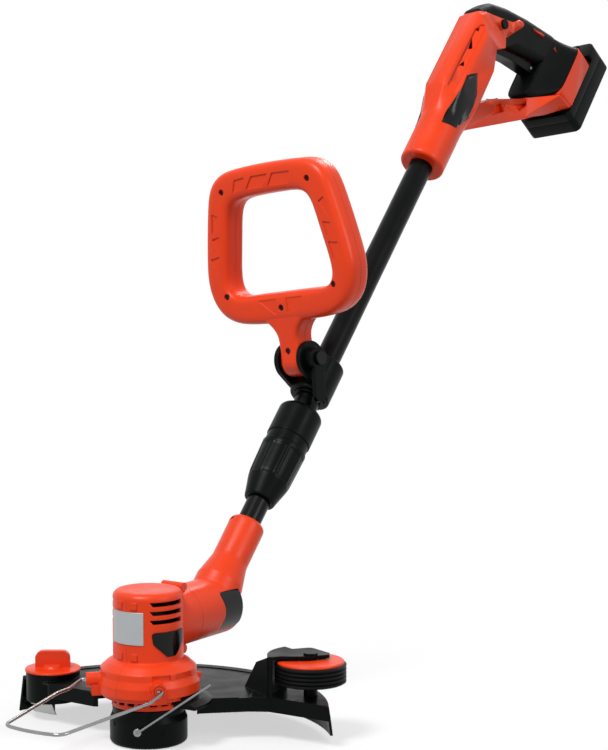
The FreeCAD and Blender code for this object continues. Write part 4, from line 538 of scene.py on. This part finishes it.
def stem_shell(name, side):
    """Rounded boxes stacked from the boss to the ring. Below the pivot the depth is a circle's, its radius times
    the root of 1 less the way down squared; above it the depth goes evenly to the stem's own."""
    height = np.linspace(-BOSS_R, STEM_TOP, STEM_LEVELS)
    below = np.clip(-height / BOSS_R, 0, 1)
    boss = BOSS_R * np.sqrt(1 - below ** 2) * BOSS_SLIM + BOSS_TIP
    reach = STEM_FRONT if side > 0 else STEM_BACK
    level = np.clip((height - BOSS_END) / BOSS_BLEND, 0, 1)
    deep = np.where(height < 0, boss, BOSS_R + (reach - BOSS_R) * level)[:, None]
    turn = np.linspace(0, np.pi, SECTION_STEPS)
    wide = stem_half_width(height)[:, None] * box_wave(np.cos(turn), STEM_BOX)
    out = side * (PARTING + (deep - PARTING) * box_wave(np.sin(turn), STEM_BOX))
    up = np.broadcast_to(height[:, None], wide.shape)
    return outward(grid_mesh(name, from_loop(np.stack([out, wide, up], -1)), along=False))


stem_front = stem_shell("loop_stem_front", 1)
stem_rear = stem_shell("loop_stem_rear", -1)
print("stem faces", len(stem_front.data.polygons), len(stem_rear.data.polygons))

# %% [markdown]
# ## How a moulding is cut
# Pockets, vents and screw seats are all straight cuts. Each is an outline drawn in one of the frames above and
# stood up to a closed prism, and a Boolean modifier with the exact solver takes it out of the moulding. The
# result is frozen to a plain mesh at once, so the cutters can go.

# %% Prisms
CUT_CREASE = 28.0           # degrees; a cut's own rim stays sharp


def prism(name, outline, low, high, place=from_upper):
    """Closed prism: the outline's (x, z) points in mm stand at y = low and at y = high, and are then placed."""
    outline = np.array(outline, float)
    ends = [np.column_stack([outline[:, 0], np.full(len(outline), y), outline[:, 1]]) for y in (low, high)]
    return outward(grid_mesh(name, place(np.stack(ends)), along=False))


print("cut rims stay sharp from", CUT_CREASE, "degrees")


# %% Cut, freeze and clear away
def freeze(made):
    """Replace a piece's mesh by the one that its modifiers give."""
    seen = made.evaluated_get(bpy.context.evaluated_depsgraph_get())
    frozen = bpy.data.meshes.new_from_object(seen)
    made.modifiers.clear()
    made.data = frozen
    return made


def carve(made, cutters):
    """Take the cutters' volumes out of a piece."""
    for cutter in cutters:
        cut = made.modifiers.new(cutter.name, "BOOLEAN")
        cut.operation = "DIFFERENCE"
        cut.solver = "EXACT"
        cut.object = cutter
    return outward(freeze(made), CUT_CREASE)


def clear_away(tools):
    """Remove the objects that only helped to make a piece."""
    for tool in tools:
        bpy.data.objects.remove(tool)
    print("cleared away", len(tools))


# %% Dress a finished piece
def dress(piece, body, slot, *nodes, finish=None):
    """Give a piece its finish, body and material slot, and hide the CAD nodes that it stands for."""
    piece.data.materials.clear()
    piece.data.materials.append(finishes[finish or slot])
    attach(piece, body)
    if nodes:
        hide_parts(*nodes)
    print("dressed", piece.name, "on", body)


# %% [markdown]
# ## Sunk ornament and screw seats
# The front shell of the real loop has shallow three- and four-sided pockets along its top, sides and foot, and
# its screws sit in deep round seats. They are moulded shapes, so they are cut into the mesh, not only bumped.

# %% Cut the loop's front shell
TOP_PATTERN = [[(-46, 192), (-41, 205), (-26, 206), (-33, 193)],
               [(-26, 193), (-16, 206), (8, 206), (-2, 193)],
               [(6, 193), (15, 206), (40, 205), (36, 192)]]
SIDE_PATTERN = [[(74, 168), (82, 172), (86, 150)],
                [(76, 146), (87, 144), (80, 130)],
                [(80, 124), (84, 104), (93, 122)]]
FOOT_PATTERN = [[(-32, 70), (-6, 70), (-8, 52)],
                [(32, 70), (8, 70), (9, 54), (22, 56)]]
RING_SCREWS = [(78, 78.5), (-78, 78.5), (63, 194), (-63, 194), (0, 60)]
STEM_SCREWS = [(0, 12), (0, 60)]
SEAT_R = 3.6
SEAT_STEPS = 20
SUNK_DEEP, SEAT_DEEP, STEM_SEAT_DEEP = 1.1, 4.0, 3.0
PAST_FRONT = 30             # the cutters end in the open, in front of the loop


def from_loop_front(points):
    """Like from_loop, for an outline drawn as (y, height) with its prism standing along the loop's depth."""
    return from_loop(points[..., [1, 0, 2]])


def seat_outline(y, height):
    """Circle of the seat's radius round (y, height)."""
    turn = np.linspace(0, 2 * np.pi, SEAT_STEPS, endpoint=False)
    return np.column_stack([y + SEAT_R * np.cos(turn), height + SEAT_R * np.sin(turn)])


sunk = TOP_PATTERN + SIDE_PATTERN + [[(-y, h) for y, h in shape] for shape in SIDE_PATTERN] + FOOT_PATTERN
ring_cuts = [prism("sunk", shape, LOOP_DEPTH - SUNK_DEEP, PAST_FRONT, from_loop_front) for shape in sunk]
ring_cuts += [prism("seat", seat_outline(y, h), LOOP_DEPTH - SEAT_DEEP, PAST_FRONT, from_loop_front)
              for y, h in RING_SCREWS]
stem_cuts = [prism("seat", seat_outline(y, h), STEM_FRONT - STEM_SEAT_DEEP, PAST_FRONT, from_loop_front)
             for y, h in STEM_SCREWS]
carve(ring_front, ring_cuts)
carve(stem_front, stem_cuts)
print("cuts in the loop", len(ring_cuts) + len(stem_cuts), "faces", len(ring_front.data.polygons))
clear_away(ring_cuts + stem_cuts)
for piece in (ring_front, ring_rear, stem_front, stem_rear):
    dress(piece, "loop", "orange_shell")
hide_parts("loop_handle_front")
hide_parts("loop_handle_rear")

# %% [markdown]
# ## The rear handle's moulded details
# The rear handle's shells keep their own shape and are only cut further: a long channel with small three-sided
# vents down each slanted side of the barrel, two deep pockets through each side of the strut, and a shoulder that
# runs from the barrel's flank to the narrower grip. The prisms go out of a merged copy, since the assembly's own
# mesh is never changed.

# %% The slanted side and the cross-section as drawing boards
FACET_MIDDLE = np.array([29.0, 21.5, 0.0])
FACET_ACROSS = np.array([-0.768, 0.640, 0.0])
FACET_OUT = np.array([0.640, 0.768, 0.0])


def facet_frame(side):
    """Frame on the barrel's slanted side: place = middle + x * across + y * out, with z up the shaft."""
    mirror = np.array([1.0, side, 1.0])

    def place(points):
        """Points drawn on the slanted side, on this side of the tool."""
        flat = FACET_MIDDLE + points[..., :1] * FACET_ACROSS + points[..., 1:2] * FACET_OUT
        flat[..., 2] = points[..., 2]
        return from_upper(flat * mirror)
    return place


def across_frame(points):
    """For an outline drawn as (y, z) with its prism standing along x."""
    return from_upper(points[..., [1, 0, 2]])


print("slanted side faces", FACET_OUT.tolist())

# %% Cut the rear handle's shells
CHANNEL = [(-5.5, 722), (0.5, 704), (5.6, 716), (5.6, 832), (2.5, 838), (-2.0, 836), (-5.5, 826)]
VENTS = [[(-4.2, 812), (-2.6, 794), (1.8, 797)],
         [(-3.8, 765), (-0.5, 774), (1.8, 767)],
         [(-4.6, 826), (-1.4, 833), (-0.8, 826)]]
STRUT_POCKETS = [[(-55.9, 784.8), (-64.5, 795.3), (-71.3, 787.2), (-55.0, 765.1)],
                 [(-81.7, 810.3), (-105.0, 836.5), (-95.7, 811.1)]]
SHOULDER = [(29.2, 825), (34, 825), (34, 884), (18.8, 884), (18.8, 850)]
RIM_INNER = -123.0          # x of the rim's inner face
FOOT_LOW = 838.2            # the foot's lower edge, mm up the shaft
FOOT_GAP = [(RIM_INNER + 1, FOOT_LOW), (RIM_INNER + 1, 865.8), (-80, 865.8), (-80, FOOT_LOW)]
CHANNEL_DEEP, VENT_DEEP = 1.7, 7.5      # the shell is 3 mm thick: the channel stays in it, the vents go through
PAST_FACET = 12                         # the cutters end in the open
POCKET_FLOOR, PAST_STRUT = 6.0, 20.0    # from the middle of the strut
SHOULDER_REACH = 45                     # either way along x
GAP_HALF = 14


def skin_of(name, node):
    """A CAD node's own mesh as a piece, merged into one skin."""
    return outward(put(name, frame["nodes"][node].data.copy()), CUT_CREASE)


shell_cuts = []
for side in (1, -1):
    shell_cuts.append(prism("channel", CHANNEL, -CHANNEL_DEEP, PAST_FACET, facet_frame(side)))
    shell_cuts += [prism("vent", vent, -VENT_DEEP, PAST_FACET, facet_frame(side)) for vent in VENTS]
    shell_cuts += [prism("pocket", pocket, side * POCKET_FLOOR, side * PAST_STRUT) for pocket in STRUT_POCKETS]
    shell_cuts.append(prism("shoulder", [(side * y, z) for y, z in SHOULDER], -SHOULDER_REACH, SHOULDER_REACH,
                            across_frame))
shell_cuts.append(prism("foot_gap", FOOT_GAP, -GAP_HALF, GAP_HALF))
shells = []
for half in ("left", "right"):
    shell = carve(skin_of("rear_shell_" + half, "handle_" + half), shell_cuts)
    dress(shell, "upper", "orange_shell", "handle_" + half)
    shells.append(shell)
clear_away(shell_cuts)
print("shell faces", [len(shell.data.polygons) for shell in shells])

# %% [markdown]
# ## The foot that carries the battery
# Between the grip and the orange rim the foot is one soft-edged flare: narrow under the grip, and as wide as the
# battery at the rim. It is a stack of rounded boxes whose half width grows as a power of the way down. The first
# levels are drawn in a little, which rounds the flare's front edge.

# %% Build the foot's flare
FLARE_LEVELS = ([(0, 3.0, 0), (0, 1.2, -1.6), (0.02, 0.2, 0)]   # (way down, inset, shift along x)
                + [(way, 0, 0) for way in (0.2, 0.4, 0.6, 0.75, 0.88, 1)])
FOOT_INNER = -92.0          # x where the grip ends
FLARE_FRONT = FOOT_INNER + 1.6
FLARE_STEPS = 56
FLARE_BOX = 0.34
FLARE_HALF, FLARE_GROWS, FLARE_BEND = 17.5, 20.0, 1.7
FOOT_RISES = 27.5
FLARE_TOP, TOP_RISES = 944.0, 8.5


def box_ring(centre, half):
    """Rounded box outline: centre plus its half sizes times cosine and sine pushed towards a square."""
    turn = np.linspace(0, 2 * np.pi, FLARE_STEPS, endpoint=False)
    return centre + half * box_wave(np.stack([np.cos(turn), np.sin(turn)], -1), FLARE_BOX)


def foot_flare():
    """Levels from the grip (way 0) to the rim (way 1); each is a rounded box in y and z at its own x:
    half width = start + growth * way to a power, and the lower edge rises with the square of the way."""
    levels = []
    for way, inset, shift in FLARE_LEVELS:
        wide = FLARE_HALF + FLARE_GROWS * way ** FLARE_BEND - inset
        low = FOOT_LOW + FOOT_RISES * way ** 2 + inset
        high = FLARE_TOP + TOP_RISES * way - inset
        ring = box_ring(np.array([0, (low + high) / 2]), np.array([wide, (high - low) / 2]))
        depth = FLARE_FRONT + (RIM_INNER - FLARE_FRONT) * way + shift
        levels.append(np.column_stack([np.full(len(ring), depth), ring]))
    return outward(grid_mesh("foot_flare", from_upper(np.stack(levels)), along=False))


flare = foot_flare()
dress(flare, "upper", "black_shell", "foot_block", finish="soft_cover")
print("flare faces", len(flare.data.polygons))

# %% [markdown]
# ## Webs beside the foot
# On each side a web of orange ABS runs from the strut out to the corner of the rim and stiffens the foot. It is
# one four-cornered section that turns into another on its way out, so one array holds the whole web.

# %% Span the webs
WEB_NEAR = [(-97, 837.6), (-107.5, 812), (-140, 850), (-124, 866)]
WEB_FAR = [(-123.4, 864), (-123.4, 862), (-149, 866.5), (-149, 870)]
WEB_STEPS = 7
WEB_INNER, WEB_REACH = 12.5, 24.5
WEB_HASTE = 0.8             # below 1 the section narrows early and runs thin to the corner


def strut_web(name, side):
    """Section = near + (far - near) * way to a power, while the web goes evenly out along y."""
    near, far = np.array(WEB_NEAR, float), np.array(WEB_FAR, float)
    way = np.linspace(0, 1, WEB_STEPS)[:, None, None]
    section = near + (far - near) * way ** WEB_HASTE
    across = np.broadcast_to(side * (WEB_INNER + WEB_REACH * way), section[..., :1].shape)
    points = np.concatenate([section[..., :1], across, section[..., 1:]], -1)
    return outward(grid_mesh(name, from_upper(points), along=False))


SIDES = (("left", 1), ("right", -1))
for name, side in SIDES:
    web = strut_web("gusset_" + name, side)
    dress(web, "upper", "orange_shell")
    print("web", name, "faces", len(web.data.polygons))

# %% [markdown]
# ## Badges and accents that follow the surface
# A badge is a thin plate bent to the moulding under it. Its outline is filled with rings that shrink to the
# middle, laid flat in front of the handle, and a Shrinkwrap modifier pushes each point onto the moulding. The
# badges lie bare, and small orange bars and chips show where the shell comes through the grip's soft cover.

# %% Lay thin plates on the handle
PLATE_RINGS, PLATE_STEPS = 9, 12
PLATE_MIDDLE = 0.02         # size of the innermost ring beside the outline
PLATE_CREASE = 30.0


def rings_in(outline):
    """An outline's runs divided evenly, then drawn in to their mean in rings: rows are rings, from the edge in."""
    corners = np.array(outline, float)
    way = np.linspace(0, 1, PLATE_STEPS, endpoint=False)[None, :, None]
    edge = (corners[:, None] + (np.roll(corners, -1, 0) - corners)[:, None] * way).reshape(-1, 2)
    shrink = np.linspace(1, PLATE_MIDDLE, PLATE_RINGS)[:, None, None]
    return corners.mean(0) + (edge - corners.mean(0)) * shrink


def plate_on(name, outline, target, proud, side, standing):
    """Thin plate pushed onto the nearest place of a target's skin. It starts where standing(x, z) says."""
    flat = rings_in(outline)
    points = np.stack([flat[..., 0], side * standing(flat[..., 0], flat[..., 1]), flat[..., 1]], -1)
    made = grid_mesh(name, from_upper(points), along=False)
    wrap = made.modifiers.new("wrap", "SHRINKWRAP")
    wrap.target = target
    wrap.wrap_method = "NEAREST_SURFACEPOINT"
    wrap.wrap_mode = "ABOVE_SURFACE"
    wrap.offset = proud / 1000
    return outward(freeze(made), PLATE_CREASE)


print("rings in a plate", PLATE_RINGS)

# %% Badges on the flanks, bars and chips on the grip
BADGE = [(22, 755), (9, 771), (-5, 747), (-11, 712), (0, 687), (19, 681)]
GRIP_BAR = [(-52, 916.5), (-74.5, 927.5), (-76, 922), (-53, 912)]
GRIP_CHIP = [(-97, 930.5), (-103.5, 923.5), (-96.5, 924.5)]
BADGE_PROUD, ACCENT_PROUD = 0.6, 0.5
BADGE_LIFT = 1.5            # mm in front of the flank, where the badge is laid before it is pushed on
BAR_FROM, CHIP_FROM = 19.0, 21.0
FLANK_OUT = 29.0
FRONT_FROM = 20             # the flank's slanted front begins at this x and falls 15 in 18
SLANT_DROP, SLANT_RUN = 15, 18
NECK_R = 26.8
NECK_END, NECK_BLEND = 696, 37


def barrel_flank(x, z):
    """How far the barrel's side stands out at (x, z): a round neck, the root of its radius squared less x
    squared, that passes into a flat flank with a slanted front."""
    flat = FLANK_OUT - np.clip(x - FRONT_FROM, 0, None) * SLANT_DROP / SLANT_RUN
    neck = np.sqrt(NECK_R ** 2 - x ** 2)
    way = np.clip((z - NECK_END) / NECK_BLEND, 0, 1)
    return flat * way + neck * (1 - way)


grip_skin = skin_of("grip_skin", "grip_cover")
plain_skins = [skin_of("plain_" + name, "handle_" + name) for name, side in SIDES]
badges = [plate_on("badge_" + name, BADGE, skin, BADGE_PROUD, side, lambda x, z: barrel_flank(x, z) + BADGE_LIFT)
          for (name, side), skin in zip(SIDES, plain_skins)]
for badge in badges:
    dress(badge, "upper", "gloss_black")
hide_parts("side_badges")
for name, side in SIDES:
    bar = plate_on("grip_bar_" + name, GRIP_BAR, grip_skin, ACCENT_PROUD, side,
                   lambda x, z: np.full_like(x, BAR_FROM))
    chip = plate_on("grip_chip_" + name, GRIP_CHIP, flare, ACCENT_PROUD, side,
                    lambda x, z: np.full_like(x, CHIP_FROM))
    dress(bar, "upper", "orange_shell")
    dress(chip, "upper", "orange_shell")
clear_away([grip_skin] + plain_skins)
print("badge faces", [len(badge.data.polygons) for badge in badges])

# %% [markdown]
# ## The twist nut
# The nut that clamps the inner tube is a turned form whose grip is a row of long shallow panels. Its surface is
# a radius worked out from the height and the angle: the profile's own radius, less a panel's depth where both
# the height and the angle lie within a panel. Soft steps between the two give the panels' rounded borders.

# %% The nut's profile and its panels
NUT_PROFILE = [(12.8, 135.3), (15.6, 135.3), (16.7, 135.8), (17.2, 137.0), (19.6, 147.0), (21.6, 155.0),
               (22.9, 160.5), (23.6, 165.0), (23.9, 172.0), (24.9, 205.0), (24.6, 205.5),     # here it turns in
               (19.2, 205.5), (19.1, 166.5), (12.8, 158.0)]
OUTSIDE_RUNS = 10           # the profile's first runs are the outside, which has the panels
ROW_STEP = 1.2              # mm between rows along the profile
NUT_PANELS = 8
PANEL_COLUMNS = 20
PANEL_DEEP = 0.7
PANEL_LOW, PANEL_HIGH, PANEL_END = 160.0, 200.0, 2.2       # mm up the shaft, and the soft end's length
RIB_SHARE, RIB_SOFT = 0.08, 0.06                           # of a panel's pitch


def between(value, low, high, soft):
    """1 inside a range, 0 outside, with a cosine step of this width at both ends."""
    rise = np.clip((value - low) / soft, 0, 1) * np.clip((high - value) / soft, 0, 1)
    return (1 - np.cos(np.pi * rise)) / 2


print("panels", NUT_PANELS, "each", PANEL_HIGH - PANEL_LOW, "mm long")

# %% Turn the nut
NUT_CREASE = 50.0


def from_lower(points):
    """Frame of the lower shaft in mm (z up it) to the tool's frame in metres."""
    return (points @ turn_y(KNEE_TILT).T + KNEE) / 1000


def nut_surface(name):
    """Radius = profile(way) - depth * between(height) * between(angle within its panel), outside only."""
    profile = np.array(NUT_PROFILE)
    runs = np.linalg.norm(np.diff(profile, axis=0), axis=1)
    spans = np.maximum(np.ceil(runs / ROW_STEP).astype(int), 1)
    rows = [np.linspace(a, b, n, endpoint=False) for a, b, n in zip(profile, profile[1:], spans)]
    rows = np.concatenate(rows + [profile[-1:]])
    turn = np.linspace(0, 2 * np.pi, NUT_PANELS * PANEL_COLUMNS, endpoint=False)
    radius, height = rows[:, :1], rows[:, 1:]
    pitch = np.mod(turn * NUT_PANELS / (2 * np.pi), 1.0)[None, :]
    outside = (np.arange(len(rows)) < spans[:OUTSIDE_RUNS].sum())[:, None]
    along = between(height, PANEL_LOW, PANEL_HIGH, PANEL_END)
    around = between(pitch, RIB_SHARE, 1 - RIB_SHARE, RIB_SOFT)
    r = radius - PANEL_DEEP * along * around * outside
    points = np.stack([r * np.cos(turn), r * np.sin(turn), np.broadcast_to(height, r.shape)], -1)
    return outward(grid_mesh(name, from_lower(points)), NUT_CREASE)


nut = nut_surface("twist_nut")
dress(nut, "nut", "black_shell", "collar_nut")
print("nut faces", len(nut.data.polygons))

# %% [markdown]
# ## Edges that were moulded round
# The battery's case and lid come from moulds with generous edge radii. A copy of each CAD skin is merged, its
# flat faces are joined again, and a Bevel modifier rounds every edge that turns by more than an angle.

# %% Round the battery
FLAT_WITHIN = 2             # degrees; triangles that turn less are one flat face
ROUND_FROM = 38             # degrees; edges that turn more are rounded
ROUND_CREASE = 60.0


def rounded_copy(node, body, slot, radius):
    """Merged copy of a CAD node whose sharp edges are bevelled in three steps, to a radius in mm."""
    made = skin_of("round_" + node, node)
    flatten = bmesh.new()
    flatten.from_mesh(made.data)
    bmesh.ops.dissolve_limit(flatten, angle_limit=radians(FLAT_WITHIN), verts=flatten.verts, edges=flatten.edges)
    flatten.to_mesh(made.data)
    flatten.free()
    edges = made.modifiers.new("edges", "BEVEL")
    edges.width = radius / 1000
    edges.segments = 3
    edges.limit_method = "ANGLE"
    edges.angle_limit = radians(ROUND_FROM)
    edges.use_clamp_overlap = True
    dress(outward(freeze(made), ROUND_CREASE), body, slot, node)
    return made


for node, radius in (("battery_cup", 3.2), ("battery_lid", 2.2)):
    made = rounded_copy(node, "battery", "black_shell", radius)
    print(node, "faces", len(made.data.polygons))
